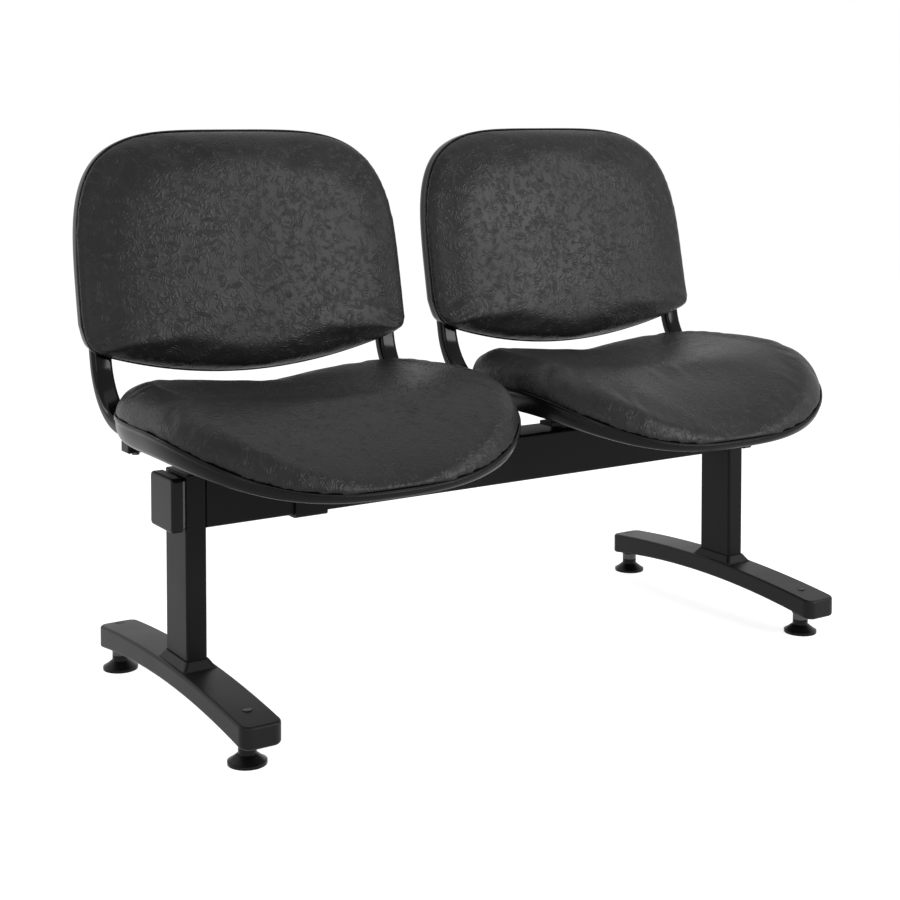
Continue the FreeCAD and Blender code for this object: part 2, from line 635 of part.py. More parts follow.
def spigot(side, sign):
    """The square tube that ties a beam end through the column's window to the end cap."""
    body = doc.addObject("PartDesign::Body", f"spigot_{side}")
    outline = sketch_on(body, f"spigot_{side}_section", "YZ_Plane")
    rectangle(outline, SPIGOT_DEEP, SPIGOT)
    pad(body, outline, f"spigot_{side}_tube", "spigot_hold + column_wide + end_gap + end_cap_seat")
    bore = sketch_on(body, f"spigot_{side}_bore_outline", "YZ_Plane")
    rectangle(bore, f"{SPIGOT_DEEP} - 2 * spigot_wall", f"{SPIGOT} - 2 * spigot_wall")
    pocket(body, bore, f"spigot_{side}_bore")
    holes = sketch_on(body, f"spigot_{side}_screw_holes", "XZ_Plane")
    for end, way in ENDS:
        circle(holes, "leg_screw_across", "spigot_hold + column_wide / 2", f"{way} * leg_screw_apart / 2")
    pocket(body, holes, f"spigot_{side}_screw_bores", "beam_deep")
    turn(body, sign)
    place(body, f"{sign} * (leg_spacing / 2 - column_wide / 2 - spigot_hold)", 0, BEAM_MIDDLE)
    keep(body, f"spigot_{side}")


def end_cap(side, sign):
    """The rounded block that closes a beam end, with a pocket and a lug for the spigot."""
    body = doc.addObject("PartDesign::Body", f"end_cap_{side}")
    outline = sketch_on(body, f"end_cap_{side}_outline", "YZ_Plane")
    rectangle(outline, "beam_deep + 2 * end_cap_over", "beam_tall + 2 * end_cap_over")
    pad(body, outline, f"end_cap_{side}_block", "end_cap_thick")
    corner = {"y": v.beam_deep / 2 + v.end_cap_over, "z": v.beam_tall / 2 + v.end_cap_over}
    rounded(body, f"end_cap_{side}_corners", "end_cap_radius", lambda edge: runs_along(edge, X, corner))
    outer = v.end_cap_thick
    rounded(body, f"end_cap_{side}_edge", "end_cap_radius * 0.6",
            lambda edge: abs(edge.BoundBox.XMin - outer) < 0.01 and abs(edge.BoundBox.XMax - outer) < 0.01)
    seat = sketch_on(body, f"end_cap_{side}_seat_outline", "YZ_Plane")
    rectangle(seat, f"{SPIGOT_DEEP} + 2 * slip_gap", f"{SPIGOT} + 2 * slip_gap")
    pocket(body, seat, f"end_cap_{side}_seat", "end_cap_seat", back=True)
    lug = sketch_on(body, f"end_cap_{side}_lug_outline", "YZ_Plane", "end_cap_seat")
    rectangle(lug, f"{SPIGOT_DEEP} - 2 * spigot_wall - 2 * slip_gap", f"{SPIGOT} - 2 * spigot_wall - 2 * slip_gap")
    pad(body, lug, f"end_cap_{side}_lug", "end_cap_seat + end_cap_lug", back=True)
    turn(body, sign)
    place(body, f"{sign} * (leg_spacing / 2 + column_wide / 2 + end_gap)", 0, BEAM_MIDDLE)
    keep(body, f"end_cap_{side}")


def leg_screws():
    """The screws from behind that hold each column on its spigot."""
    screws = []
    for side, sign in SIDES:
        for end, way in ENDS:
            name = f"leg_screw_{side}_{end}"
            middle = f"{sign} * leg_spacing / 2"
            height = f"{BEAM_MIDDLE} + {way} * leg_screw_apart / 2"
            inner = f"{SPIGOT_DEEP} / 2 - spigot_wall"
            shank = rod(f"{name}_shank", "leg_screw_across", f"column_deep / 2 - ({inner})", middle, inner, height, "y")
            head = rod(f"{name}_head", "leg_screw_head", "leg_screw_head_tall", middle, "column_deep / 2", height, "y")
            screws.append(joined(name, [shank, head]))
    keep(group("leg_screws_group", screws), "leg_screws")


def strap():
    """The bent strap under the beam that holds the left seat's mounting plate down."""
    body = doc.addObject("PartDesign::Body", "strap_body")
    outline = sketch_on(body, "strap_section", "YZ_Plane")
    tall = "beam_tall + slip_gap + strap_thick + strap_above"
    rectangle(outline, "beam_deep + 2 * slip_gap + 2 * strap_thick", tall, "0", f"({tall}) / 2")
    pad(body, outline, "strap_blank", "strap_wide", midplane=True)
    rounded(body, "strap_bends", "strap_radius", lambda edge: runs_along(edge, X) and abs(edge.CenterOfMass.z) < 0.01)
    room = sketch_on(body, "strap_room_outline", "YZ_Plane")
    inside = "beam_tall + slip_gap + strap_above + 5"
    rectangle(room, "beam_deep + 2 * slip_gap", inside, "0", f"strap_thick + ({inside}) / 2")
    pocket(body, room, "strap_room")
    holes = sketch_on(body, "strap_bolt_holes", "XZ_Plane")
    circle(holes, "strap_bolt_across + 2 * slip_gap", "0", STRAP_BOLT + " - (beam_low - slip_gap - strap_thick)")
    pocket(body, holes, "strap_bolt_bores")
    place(body, "-strap_side", 0, "beam_low - slip_gap - strap_thick")
    keep(body, "beam_strap")


def strap_bolt():
    """The bolt and nut across the strap's ends, over the mounting plate."""
    half = "(beam_deep / 2 + slip_gap + strap_thick)"
    shank = rod("strap_bolt_shank", "strap_bolt_across", f"2 * {half} + strap_bolt_head_tall",
                "-strap_side", f"-{half}", STRAP_BOLT, "y")
    head = hexagon("strap_bolt_head", "strap_bolt_head", "strap_bolt_head_tall", "-strap_side",
                   f"-{half} - strap_bolt_head_tall", STRAP_BOLT, "y")
    nut = hexagon("strap_bolt_nut", "strap_bolt_head", "strap_bolt_head_tall", "-strap_side", half, STRAP_BOLT, "y")
    keep(joined("strap_bolt_part", [shank, head, nut]), "strap_bolt")


def mounting(side, sign):
    """The plate on the beam that carries a seat, its bearers and its rear rail."""
    middle = f"{sign} * chair_pitch / 2"
    plate = box(f"mount_plate_{side}_bar", "2 * plate_half", "plate_deep", "plate_thick", middle,
                "-plate_forward", PLATE_LOW)
    holes = [rod(f"mount_plate_{side}_hole_{end}", "mount_bolt_across + 2 * slip_gap", "plate_thick",
                 f"{middle} + {way} * bearer_out", "-plate_forward", PLATE_LOW) for end, way in SIDES]
    keep(less(f"mount_plate_{side}_part", plate, holes), f"mount_plate_{side}")
    for end, way in SIDES:
        bearer(f"bearer_{side}_{end}", f"{middle} + {way} * bearer_out")
    rail = doc.addObject("PartDesign::Body", f"rear_rail_{side}")
    outline = sketch_on(rail, f"rear_rail_{side}_section", "YZ_Plane")
    rectangle(outline, "rail_deep", "rail_tall")
    pad(rail, outline, f"rear_rail_{side}_tube", "2 * rail_half", midplane=True)
    corner = {"y": v.rail_deep / 2, "z": v.rail_tall / 2}
    rounded(rail, f"rear_rail_{side}_corners", "rail_wall + 0.5", lambda edge: runs_along(edge, X, corner))
    bore = sketch_on(rail, f"rear_rail_{side}_bore_outline", "YZ_Plane")
    rectangle(bore, "rail_deep - 2 * rail_wall", "rail_tall - 2 * rail_wall")
    pocket(rail, bore, f"rear_rail_{side}_bore")
    ends = sketch_on(rail, f"rear_rail_{side}_screw_holes", "XY_Plane")
    for end, way in SIDES:
        circle(ends, "seat_screw_across + 2 * slip_gap", f"{way} * rail_screw_out", "0")
    pocket(rail, ends, f"rear_rail_{side}_screw_bores")
    place(rail, middle, "rail_back", f"{BEARER_LOW} + rail_tall / 2")
    keep(rail, f"rear_rail_{side}")


def bearer(name, x):
    """A short tube from front to back that lies over the mounting plate."""
    body = doc.addObject("PartDesign::Body", name)
    outline = sketch_on(body, f"{name}_section", "XZ_Plane")
    rectangle(outline, "bearer_wide", "rail_tall")
    pad(body, outline, f"{name}_tube", BEARER_LONG)
    corner = {"x": v.bearer_wide / 2, "z": v.rail_tall / 2}
    rounded(body, f"{name}_corners", "rail_wall + 0.5", lambda edge: runs_along(edge, Y, corner))
    bore = sketch_on(body, f"{name}_bore_outline", "XZ_Plane")
    rectangle(bore, "bearer_wide - 2 * rail_wall", "rail_tall - 2 * rail_wall")
    pocket(body, bore, f"{name}_bore")
    through = sketch_on(body, f"{name}_screw_holes", "XY_Plane")
    for along in ("-seat_screw_front", "seat_screw_back"):
        circle(through, "seat_screw_across + 2 * slip_gap", "0", f"{along} - ({BEARER_BACK})")
    pocket(body, through, f"{name}_screw_bores")
    access = sketch_on(body, f"{name}_bolt_access", "XY_Plane")
    circle(access, "mount_bolt_head + 2 * slip_gap", "0", f"-plate_forward - ({BEARER_BACK})")
    pocket(body, access, f"{name}_bolt_room", "rail_tall", back=True)
    hole = sketch_on(body, f"{name}_bolt_hole", "XY_Plane")
    circle(hole, "mount_bolt_across + 2 * slip_gap", "0", f"-plate_forward - ({BEARER_BACK})")
    pocket(body, hole, f"{name}_bolt_bore")
    place(body, x, BEARER_BACK, f"{BEARER_LOW} + rail_tall / 2")
    keep(body, name)


def mount_blocks():
    """The pads under the mounting plates and the blocks between plates and bearers."""
    for name, low, tall in (("mount_pads", BEAM_TOP, "pad_tall"),
                            ("mount_blocks", PLATE_LOW + " + plate_thick", "block_tall")):
        items = []
        for x in BOLT_PLACES:
            index = len(items) + 1
            body = box(f"{name}_{index}_body", "bearer_wide", "plate_deep", tall, x, "-plate_forward", low)
            hole = rod(f"{name}_{index}_hole", "mount_bolt_across + 2 * slip_gap", tall, x, "-plate_forward", low)
            items.append(less(f"{name}_{index}", body, [hole]))
        keep(group(f"{name}_group", items), name)


def mount_bolts():
    """The bolts through bearers, blocks, plates and pads into the beam."""
    bolts = []
    for x in BOLT_PLACES:
        name = f"mount_bolt_{len(bolts) + 1}"
        seat = BEARER_LOW + " + rail_wall"
        head = hexagon(f"{name}_head", "mount_bolt_head", "mount_bolt_head_tall", x, "-plate_forward", seat)
        shank = rod(f"{name}_shank", "mount_bolt_across", f"{seat} - {BEAM_TOP} + beam_wall", x,
                    "-plate_forward", f"{BEAM_TOP} - beam_wall")
        bolts.append(joined(name, [head, shank]))
    keep(group("mount_bolts_group", bolts), "mount_bolts")


def rail_plugs():
    """The plastic plugs in the rear rails' ends."""
    plugs = []
    for side, sign in SIDES:
        for end, way in SIDES:
            name = f"rail_plug_{side}_{end}"
            inner = f"{sign} * chair_pitch / 2 + {way} * rail_half"
            flange = box(f"{name}_flange", "rail_plug_flange", "rail_deep", "rail_tall",
                         f"{inner} + {way} * rail_plug_flange / 2", "rail_back", BEARER_LOW)
            soft = doc.addObject("Part::Fillet", f"{name}_soft")
            soft.Base = flange
            doc.recompute()
            outer = v.chair_pitch / 2 * sign + way * (v.rail_half + v.rail_plug_flange)
            round_edges = [i for i, edge in enumerate(flange.Shape.Edges, start=1)
                           if abs(edge.CenterOfMass.x - outer) < 0.01]
            soft.Edges = [(i, 2.0, 2.0) for i in round_edges]
            lug = box(f"{name}_lug", "rail_plug_lug", "rail_deep - 2 * rail_wall - 2 * slip_gap",
                      "rail_tall - 2 * rail_wall - 2 * slip_gap", f"{inner} - {way} * rail_plug_lug / 2", "rail_back",
                      f"{BEARER_LOW} + rail_wall + slip_gap")
            plugs.append(joined(name, [soft, lug]))
    keep(group("rail_plugs_group", plugs), "rail_plugs")


def seat_screws():
    """The screws from below through bearers and rails into seat boards and side tubes."""
    screws = []
    for side, sign in SIDES:
        middle = f"{sign} * chair_pitch / 2"
        spots = [(f"{way} * bearer_out", along, f"{BOARD_LOW} + seat_board_thick / 2")
                 for end, way in SIDES for along in ("-seat_screw_front", "seat_screw_back")]
        spots += [(f"{way} * rail_screw_out", "rail_back", TUBE_LEVEL) for end, way in SIDES]
        for out, along, top in spots:
            name = f"seat_screw_{len(screws) + 1}"
            head = rod(f"{name}_head", "seat_screw_head", "seat_screw_head_tall", f"{middle} + {out}", along,
                       f"{BEARER_LOW} - seat_screw_head_tall")
            shank = rod(f"{name}_shank", "seat_screw_across", f"{top} - {BEARER_LOW}", f"{middle} + {out}",
                        along, BEARER_LOW)
            screws.append(joined(name, [head, shank]))
    keep(group("seat_screws_group", screws), "seat_screws")


def side_tube(chair, sign, side, way):
    """An oval tube that lies under the seat, bends up and carries the back."""
    name = f"side_tube_{chair}_{side}"
    body = doc.addObject("PartDesign::Body", name)
    path = sketch_on(body, f"{name}_path", "YZ_Plane")
    lean = math.radians(v.back_lean)
    height, bend, start = tube_middle(), v.tube_bend, v.tube_bend_back
    leave = Vector(*bend_end(), 0)
    top = leave + Vector(math.tan(lean), 1, 0) * (v.tube_top - leave.y)
    flat = path.addGeometry(Part.LineSegment(Vector(-v.tube_front, height, 0), Vector(start, height, 0)), False)
    curve = Part.Circle(Vector(start, height + bend, 0), Vector(0, 0, 1), bend)
    turn_up = path.addGeometry(Part.ArcOfCircle(curve, -math.pi / 2, -lean), False)
    rising = path.addGeometry(Part.LineSegment(leave, top), False)
    path.addConstraint(Sketcher.Constraint("Horizontal", flat))
    path.addConstraint(Sketcher.Constraint("Tangent", flat, 2, turn_up, 1))
    path.addConstraint(Sketcher.Constraint("Tangent", turn_up, 2, rising, 1))
    size(path, "DistanceX", (-1, 1, flat, 1), "-tube_front")
    size(path, "DistanceX", (-1, 1, flat, 2), "tube_bend_back")
    size(path, "DistanceY", (-1, 1, flat, 1), TUBE_LEVEL)
    size(path, "Radius", (turn_up,), "tube_bend")
    size(path, "DistanceY", (-1, 1, rising, 2), "tube_top")
    size(path, "DistanceX", (-1, 1, rising, 2), upright("tube_top"))
    section = sketch_on(body, f"{name}_section", "XZ_Plane", "tube_front")
    oval(section, "tube_wide", "tube_thick", "tube_round", TUBE_LEVEL)
    pipe = body.newObject("PartDesign::AdditivePipe", f"{name}_outside")
    pipe.Profile = section
    pipe.Spine = path
    inner = sketch_on(body, f"{name}_bore_section", "XZ_Plane", "tube_front")
    oval(inner, "tube_wide - 2 * tube_wall", "tube_thick - 2 * tube_wall", "tube_round - tube_wall", TUBE_LEVEL)
    bore = body.newObject("PartDesign::SubtractivePipe", f"{name}_bore")
    bore.Profile = inner
    bore.Spine = path
    screw = sketch_on(body, f"{name}_screw_hole", "XY_Plane", TUBE_LEVEL)
    circle(screw, "seat_screw_across", f"{way} * (rail_screw_out - tube_out)", "rail_back")
    pocket(body, screw, f"{name}_screw_bore", "tube_thick")
    for height_name in ("back_screw_low", "back_screw_high"):
        hole = sketch_on(body, f"{name}_{height_name}_hole", "XZ_Plane", f"-{upright(height_name)}")
        circle(hole, "back_screw_across", "0", height_name)
        pocket(body, hole, f"{name}_{height_name}_bore", "tube_thick")
    place(body, f"{sign} * chair_pitch / 2 + {way} * tube_out", 0, 0)
    keep(body, name)


def tube_middle():
    """Height of the side tubes' middle under the seat."""
    return v.rim_level - v.slip_gap - v.seat_board_thick - v.tube_thick / 2


def bend_end():
    """Where the side tube's middle leaves its bend: behind the beam and above the floor."""
    lean = math.radians(v.back_lean)
    return v.tube_bend_back + v.tube_bend * math.cos(lean), tube_middle() + v.tube_bend * (1 - math.sin(lean))


def oval(sketch, wide, tall, corner, height):
    """A rectangle with four rounded corners about a point above the origin."""
    half_wide, half_tall, radius, middle = 12.0, 8.0, 3.0, 380.0
    right, up = half_wide - radius, half_tall - radius
    spots = ((right, up, 0), (-right, up, 90), (-right, -up, 180), (right, -up, 270))
    arcs = []
    for x, y, angle in spots:
        curve = Part.Circle(Vector(x, middle + y, 0), Vector(0, 0, 1), radius)
        arcs.append(sketch.addGeometry(
            Part.ArcOfCircle(curve, math.radians(angle), math.radians(angle + 90)), False))
    lines = []
    for i in range(4):
        start = sketch.getPoint(arcs[i], 2)
        finish = sketch.getPoint(arcs[(i + 1) % 4], 1)
        lines.append(sketch.addGeometry(Part.LineSegment(start, finish), False))
        sketch.addConstraint(Sketcher.Constraint("Tangent", arcs[i], 2, lines[i], 1))
        sketch.addConstraint(Sketcher.Constraint("Tangent", lines[i], 2, arcs[(i + 1) % 4], 1))
    for line, kind in zip(lines, ("Horizontal", "Vertical") * 2):
        sketch.addConstraint(Sketcher.Constraint(kind, line))
    for arc in arcs[1:]:
        sketch.addConstraint(Sketcher.Constraint("Equal", arcs[0], arc))
    size(sketch, "Radius", (arcs[0],), corner)
    size(sketch, "DistanceX", (lines[0], 2, lines[0], 1), f"{wide} - 2 * ({corner})")
    size(sketch, "DistanceY", (lines[1], 2, lines[1], 1), f"{tall} - 2 * ({corner})")
    size(sketch, "DistanceX", (-1, 1, arcs[0], 3), f"({wide}) / 2 - ({corner})")
    size(sketch, "DistanceY", (-1, 1, arcs[0], 3), f"{height} + ({tall}) / 2 - ({corner})")


# Shapes that no sketch of the sheet gives: lofts through lines and arcs

def wire(*edges):
    """A closed wire from points: two points make a line and three an arc."""
    return Part.Wire([Part.LineSegment(*edge).toShape() if len(edge) == 2 else Part.Arc(*edge).toShape()
                      for edge in edges])


def loft(sections, straight=False):
    """A solid through the sections, smooth or with straight lines between them."""
    return Part.makeLoft(sections, True, straight)


def mirrored(point):
    return Vector(-point.x, point.y, point.z)


def rim_height(y):
    """Height of the seat's seam: level, then falling to the front edge."""
    ahead = max(0.0, -v.rim_drop_start - y)
    return v.rim_level - v.rim_drop * (ahead / (v.seat_reach + v.seat_middle - v.rim_drop_start)) ** 2.4


def seat_width(y):
    """Half the seat's width at y, from its squared-off oval."""
    share = min(1.0, abs(y + v.seat_middle) / v.seat_reach)
    power = v.seat_squareness if y < -v.seat_middle else v.seat_squareness_rear
    return v.seat_half * (1 - share ** power) ** (1 / power)


def seat_depth(y):
    """Depth of the seat shell under the seam."""
    ahead = max(0.0, -v.rim_drop_start - y) / (v.seat_reach + v.seat_middle - v.rim_drop_start)
    return v.seat_shell_deep - (v.seat_shell_deep - v.seat_shell_lip) * ahead ** 2


STATIONS = (0.998, 0.985, 0.95, 0.88, 0.78, 0.62, 0.42, 0.2)


def seat_stations():
    """Lines across the seat, closer together towards its front and rear edges."""
    return ([-v.seat_middle - share * v.seat_reach for share in STATIONS] + [-v.seat_middle]
            + [-v.seat_middle + share * v.seat_reach for share in reversed(STATIONS)])


def end_fade(y):
    """How much of its height the cushion keeps near its front and rear edges."""
    share = min(1.0, abs(y + v.seat_middle) / v.seat_reach)
    return math.sqrt(max(0.0, 1 - share ** 5)) * 0.55 + 0.45


def seat_cushion_shape():
    """Crowned cushion: low in the middle, fuller at the sides, falling at the front."""
    sections = []
    for y in seat_stations():
        half, low, fade = seat_width(y), rim_height(y), end_fade(y)
        edge = min(3.0, half * 0.05)
        foot_point = Vector(half - edge, y, low)
        side = Vector(half - half * 0.025, y, low + 0.6 * fade * v.seat_bolster)
        shoulder = Vector(half * 0.76, y, low + fade * v.seat_bolster)
        middle = Vector(0, y, low + fade * v.seat_hollow)
        sections.append(wire((mirrored(foot_point), foot_point), (foot_point, side, shoulder),
                             (shoulder, middle, mirrored(shoulder)),
                             (mirrored(shoulder), mirrored(side), mirrored(foot_point))))
    return loft(sections)


def seat_tray(inset):
    """The seat shell's space, smaller by the inset and then open above the seam."""
    sections = []
    middle, reach = -v.seat_middle, v.seat_reach
    for y in seat_stations():
        inner_y = middle + (y - middle) * (reach - inset) / reach
        half = seat_width(y) - 1 - inset
        low = rim_height(inner_y) - v.seam_gap
        deep = seat_depth(inner_y) - inset - v.seam_gap
        narrow = min(1.0, max(half, 8.0) / 120)
        scale = deep / v.seat_shell_deep
        top = low + (2.0 if inset else 0.0)
        lip = Vector(half, inner_y, top)
        wall = Vector(half - 1.0 * narrow, inner_y, low - 13 * scale)
        knee = Vector(half - 4.0 * narrow, inner_y, low - 25 * scale)
        bend = Vector(half - 9.0 * narrow, inner_y, low - 34 * scale)
        base = Vector(half - 22.0 * narrow, inner_y, low - deep)
        sections.append(wire((mirrored(lip), lip), (lip, wall, knee), (knee, bend, base), (base, mirrored(base)),
                             (mirrored(base), mirrored(bend), mirrored(knee)),
                             (mirrored(knee), mirrored(wall), mirrored(lip))))
    return loft(sections, True)


def block(x, y, z):
    """A block from pairs of its lowest and highest x, y and z."""
    return Part.makeBox(x[1] - x[0], y[1] - y[0], z[1] - z[0], Vector(x[0], y[0], z[0]))


def seat_shell_shape():
    """The tray under the cushion, open at its rear corners for the side tubes."""
    shell = seat_tray(0.0).cut(seat_tray(v.seat_shell_wall))
    gap, half, thick = v.slip_gap, v.tube_wide / 2, v.tube_thick / 2
    middle = tube_middle()
    radius = v.seat_screw_across / 2 + gap
    for way in (-1, 1):
        inner, outer, outside = (way * (v.tube_out + out) for out in (-half - gap, half + gap, v.tube_wide))
        across = sorted((inner, outer))
        shell = shell.cut(block(across, (-v.tube_front - 1, v.tube_notch), (middle - thick, middle + thick + gap)))
        opened = sorted((inner, outside))
        shell = shell.cut(block(opened, (v.tube_notch, v.seat_reach), (middle - thick, v.rim_level + 5)))
        for out, along in ((v.bearer_out, -v.seat_screw_front), (v.bearer_out, v.seat_screw_back),
                           (v.rail_screw_out, v.rail_back)):
            shell = shell.cut(Part.makeCylinder(radius, 60, Vector(way * out, along, middle - 50)))
    return shell


def seat_board_shape():
    """The flat board between the cushion and the side tubes."""
    points = [(v.seat_board_half, -v.seat_board_front), (v.seat_board_half, v.seat_board_waist),
              (v.seat_board_tail, v.seat_board_back)]
    outline = points + [(-x, y) for x, y in reversed(points)]
    low = tube_middle() + v.tube_thick / 2
    face = Part.Face(Part.makePolygon([Vector(x, y, low) for x, y in outline + outline[:1]]))
    board = face.extrude(Vector(0, 0, v.seat_board_thick))
    for way in (-1, 1):
        for along in (-v.seat_screw_front, v.seat_screw_back):
            board = board.cut(Part.makeCylinder(v.seat_screw_across / 2, v.seat_board_thick / 2,
                                                Vector(way * v.bearer_out, along, low)))
    return board


def back_seam(z):
    """The back's seam behind the beam's middle, on its middle line."""
    return v.back_seam_back + math.tan(math.radians(v.back_lean)) * (z - 600)


def lowness(z):
    """0 above the back's shoulder, 1 at its lower corners."""
    return min(1.0, max(0.0, (v.back_shoulder - z) / (v.back_shoulder - v.back_corner)))


def back_wrap(z):
    """How far the seam's sides come forward at this height."""
    return v.back_wrap_top + (v.back_wrap_low - v.back_wrap_top) * lowness(z)


def back_width(z):
    """Half the back's width: a bowed lower edge, nearly straight sides, rounded upper corners."""
    if z < v.back_corner:
        share = (z - v.back_low) / (v.back_corner - v.back_low)
        return v.back_corner_half * min(1.0, math.sqrt(max(0.0, share)) * 1.02 - 0.02 * share)
    if z < v.back_shoulder:
        share = (z - v.back_corner) / (v.back_shoulder - v.back_corner)
        return v.back_corner_half + (v.back_half - v.back_corner_half) * share
    share = (z - v.back_shoulder) / (v.back_top - v.back_shoulder)
    return v.back_half * (1 - min(1.0, share) ** v.back_squareness) ** (1 / v.back_squareness)


def back_levels():
    """Levels up the back, closer together towards its lower and upper edges."""
    low, corner, shoulder, top = v.back_low, v.back_corner, v.back_shoulder, v.back_top
    return ([low + (corner - low) * share for share in (0.04, 0.12, 0.25, 0.45, 0.7, 0.92)]
            + [corner + 6, shoulder]
            + [shoulder + (top - shoulder) * share for share in (0.25, 0.5, 0.68, 0.8, 0.88, 0.94, 0.975, 0.996)])


def back_fade(z, inset=0.0):
    """How much of its depth the back keeps near its lower and upper edges."""
    near = min(z - v.back_low, v.back_top - z) + inset
    return 0.5 + 0.5 * math.sqrt(max(0.0, 1 - max(0.0, 1 - near / 26) ** 2))


def back_point(x, z, forward):
    """A point of the back, measured forward from its seam."""
    return Vector(x, back_seam(z) - back_wrap(z) * (x / v.back_half) ** 2 - forward, z)


def back_cushion_shape():
    """The cushion in front of the back's seam, with a rounded edge and a full middle."""
    sections = []
    for z in back_levels():
        half, fade = back_width(z), back_fade(z)
        edge = min(3.0, half * 0.05)
        seam = back_point(half - edge, z, 0)
        side = back_point(half, z, 0.55 * fade * v.back_cushion_edge)
        front = back_point(half - 12 * min(1.0, half / 60), z, fade * v.back_cushion_edge)
        middle = Vector(0, back_seam(z) - fade * v.back_cushion_mid, z)
        sections.append(wire((mirrored(seam), back_point(0, z, 0), seam), (seam, side, front),
                             (front, middle, mirrored(front)),
                             (mirrored(front), mirrored(side), mirrored(seam))))
    return loft(sections, True)


def back_tray(inset):
    """The back shell's space, smaller by the inset and then open in front of the seam."""
    sections = []
    for z in back_levels():
        middle = (v.back_low + v.back_top) / 2
        inner_z = middle + (z - middle) * (1 - 2 * inset / (v.back_top - v.back_low))
        half, fade = back_width(z) - 1 - inset, back_fade(z)
        open_by = 2.0 if inset else -v.seam_gap
        deep = inset - fade * v.back_shell_deep
        sides = inset - fade * (v.back_shell_side + (v.back_shell_corner - v.back_shell_side) * lowness(z))
        lip = back_point(half, inner_z, open_by)
        side = back_point(half - 1, inner_z, sides * 0.6)
        rear = back_point(half - 14 * min(1.0, half / 60), inner_z, sides)
        spine = Vector(0, back_seam(inner_z) - deep, inner_z)
        face = Vector(0, back_seam(inner_z) - open_by, inner_z)
        sections.append(wire((mirrored(lip), face, lip), (lip, side, rear), (rear, spine, mirrored(rear)),
                             (mirrored(rear), mirrored(side), mirrored(lip))))
    return loft(sections, True)


def leaning(shape):
    """Leans a shape back about the line where the side tubes leave their bend."""
    moved = shape.copy()
    moved.rotate(Vector(0, *bend_end()), X, -v.back_lean)
    return moved


def back_shell_shape():
    """The rear cover, open at its lower edge for the side tubes."""
    shell = back_tray(0.0).cut(back_tray(v.back_shell_wall))
    middle, low = bend_end()
    top = low + (v.tube_top - low) / math.cos(math.radians(v.back_lean)) + v.slip_gap
    half, thick = v.tube_wide / 2 + v.slip_gap, v.tube_thick / 2 + v.slip_gap
    for way in (-1, 1):
        across = (way * v.tube_out - half, way * v.tube_out + half)
        room = block(across, (middle - thick, middle + thick), (low - v.tube_bend / 2, top))
        shell = shell.cut(leaning(room))
    for x, z in back_screw_spots():
        shell = shell.cut(across_back(x, z, v.back_screw_across / 2 + v.slip_gap))
    return shell


def back_screw_spots():
    """Places of the back screws: those into the board and those into the side tubes."""
    return [(way * out, z) for way in (-1, 1) for out in (v.back_screw_out, v.tube_out)
            for z in (v.back_screw_low, v.back_screw_high)]


def across_back(x, z, radius):
    """A bar from front to back at a screw's place."""
    return Part.makeCylinder(radius, 80, Vector(x, back_seam(z) - 8, z), Y)


def back_board_shape():
    """The flat board behind the back cushion, between the side tubes."""
    half, gap = v.back_board_half, v.slip_gap
    low, top = v.back_board_low, v.back_board_top
    corners = [(back_seam(low) + gap, low), (back_seam(low) + gap + v.back_board_thick, low),
               (back_seam(top) + gap + v.back_board_thick, top), (back_seam(top) + gap, top)]
    face = Part.Face(Part.makePolygon([Vector(-half, y, z) for y, z in corners + corners[:1]]))
    board = face.extrude(Vector(2 * half, 0, 0))
    for x, z in back_screw_spots():
        board = board.cut(across_back(x, z, v.back_screw_across / 2))
    return board


def back_screws_shape():
    """The screws from behind through the rear cover into back boards and side tubes."""
    cover = back_tray(0.0)
    lift = v.back_screw_head / 2 * math.tan(math.radians(v.back_lean)) + 2 * v.slip_gap
    screws = []
    for x, z in back_screw_spots():
        start = back_seam(z) + v.slip_gap + 1
        if abs(x) > v.back_board_half:
            start = bend_end()[0] + math.tan(math.radians(v.back_lean)) * (z - bend_end()[1])
        finish = Part.makeLine(Vector(x, start, z), Vector(x, start + 100, z)).common(cover).BoundBox.YMax + lift
        shank = Part.makeCylinder(v.back_screw_across / 2, finish - start, Vector(x, start, z), Y)
        head = Part.makeCylinder(v.back_screw_head / 2, v.back_screw_head_tall, Vector(x, finish, z), Y)
        screws.append(shank.fuse(head))
    pairs = [Part.makeCompound(screws) for side in SIDES]
    for pair, (side, sign) in zip(pairs, SIDES):
        pair.translate(Vector(sign * v.chair_pitch / 2, 0, 0))
    return Part.makeCompound(pairs)


def form(name, shape, x="0"):
    """A sub-part from a shape worked out above, moved along the beam."""
    item = doc.addObject("Part::Feature", name + "_form")
    item.Shape = shape
    keep(place(item, x), name)

for side, sign in SIDES:
    column(side, sign)
    column_plate(side, sign)
    column_cap(side, sign)
    collar(side, sign)
    foot(side, sign)
    spigot(side, sign)
    end_cap(side, sign)
    mounting(side, sign)
    for (end, way), along in zip(ENDS, GLIDES_ALONG):
        glide(side, sign, end, along)
    for tube_side, way in SIDES:
        side_tube(side, sign, tube_side, way)
lock_rings()
foot_bolts()
foot_plugs()
beam()
leg_screws()
strap()
strap_bolt()
mount_blocks()
mount_bolts()
rail_plugs()
seat_screws()

upholstery = {"seat_shell": seat_shell_shape(), "seat_board": seat_board_shape(),
              "seat_cushion": seat_cushion_shape(), "back_shell": back_shell_shape(),
              "back_board": back_board_shape(), "back_cushion": back_cushion_shape()}
for side, sign in SIDES:
    for name, shape in upholstery.items():
        form(f"{name}_{side}", shape, f"{sign} * chair_pitch / 2")
form("back_screws", back_screws_shape())
doc.recompute()

# The origin lies on the floor under the middle of the whole bench
bench = FreeCAD.BoundBox()
for part in parts:
    bench.add(part.Shape.optimalBoundingBox(False, False))
shift = -(bench.YMin + bench.YMax) / 2
sheet.set(sheet.getCellFromAlias("origin_shift"), str(shift))
doc.recompute()

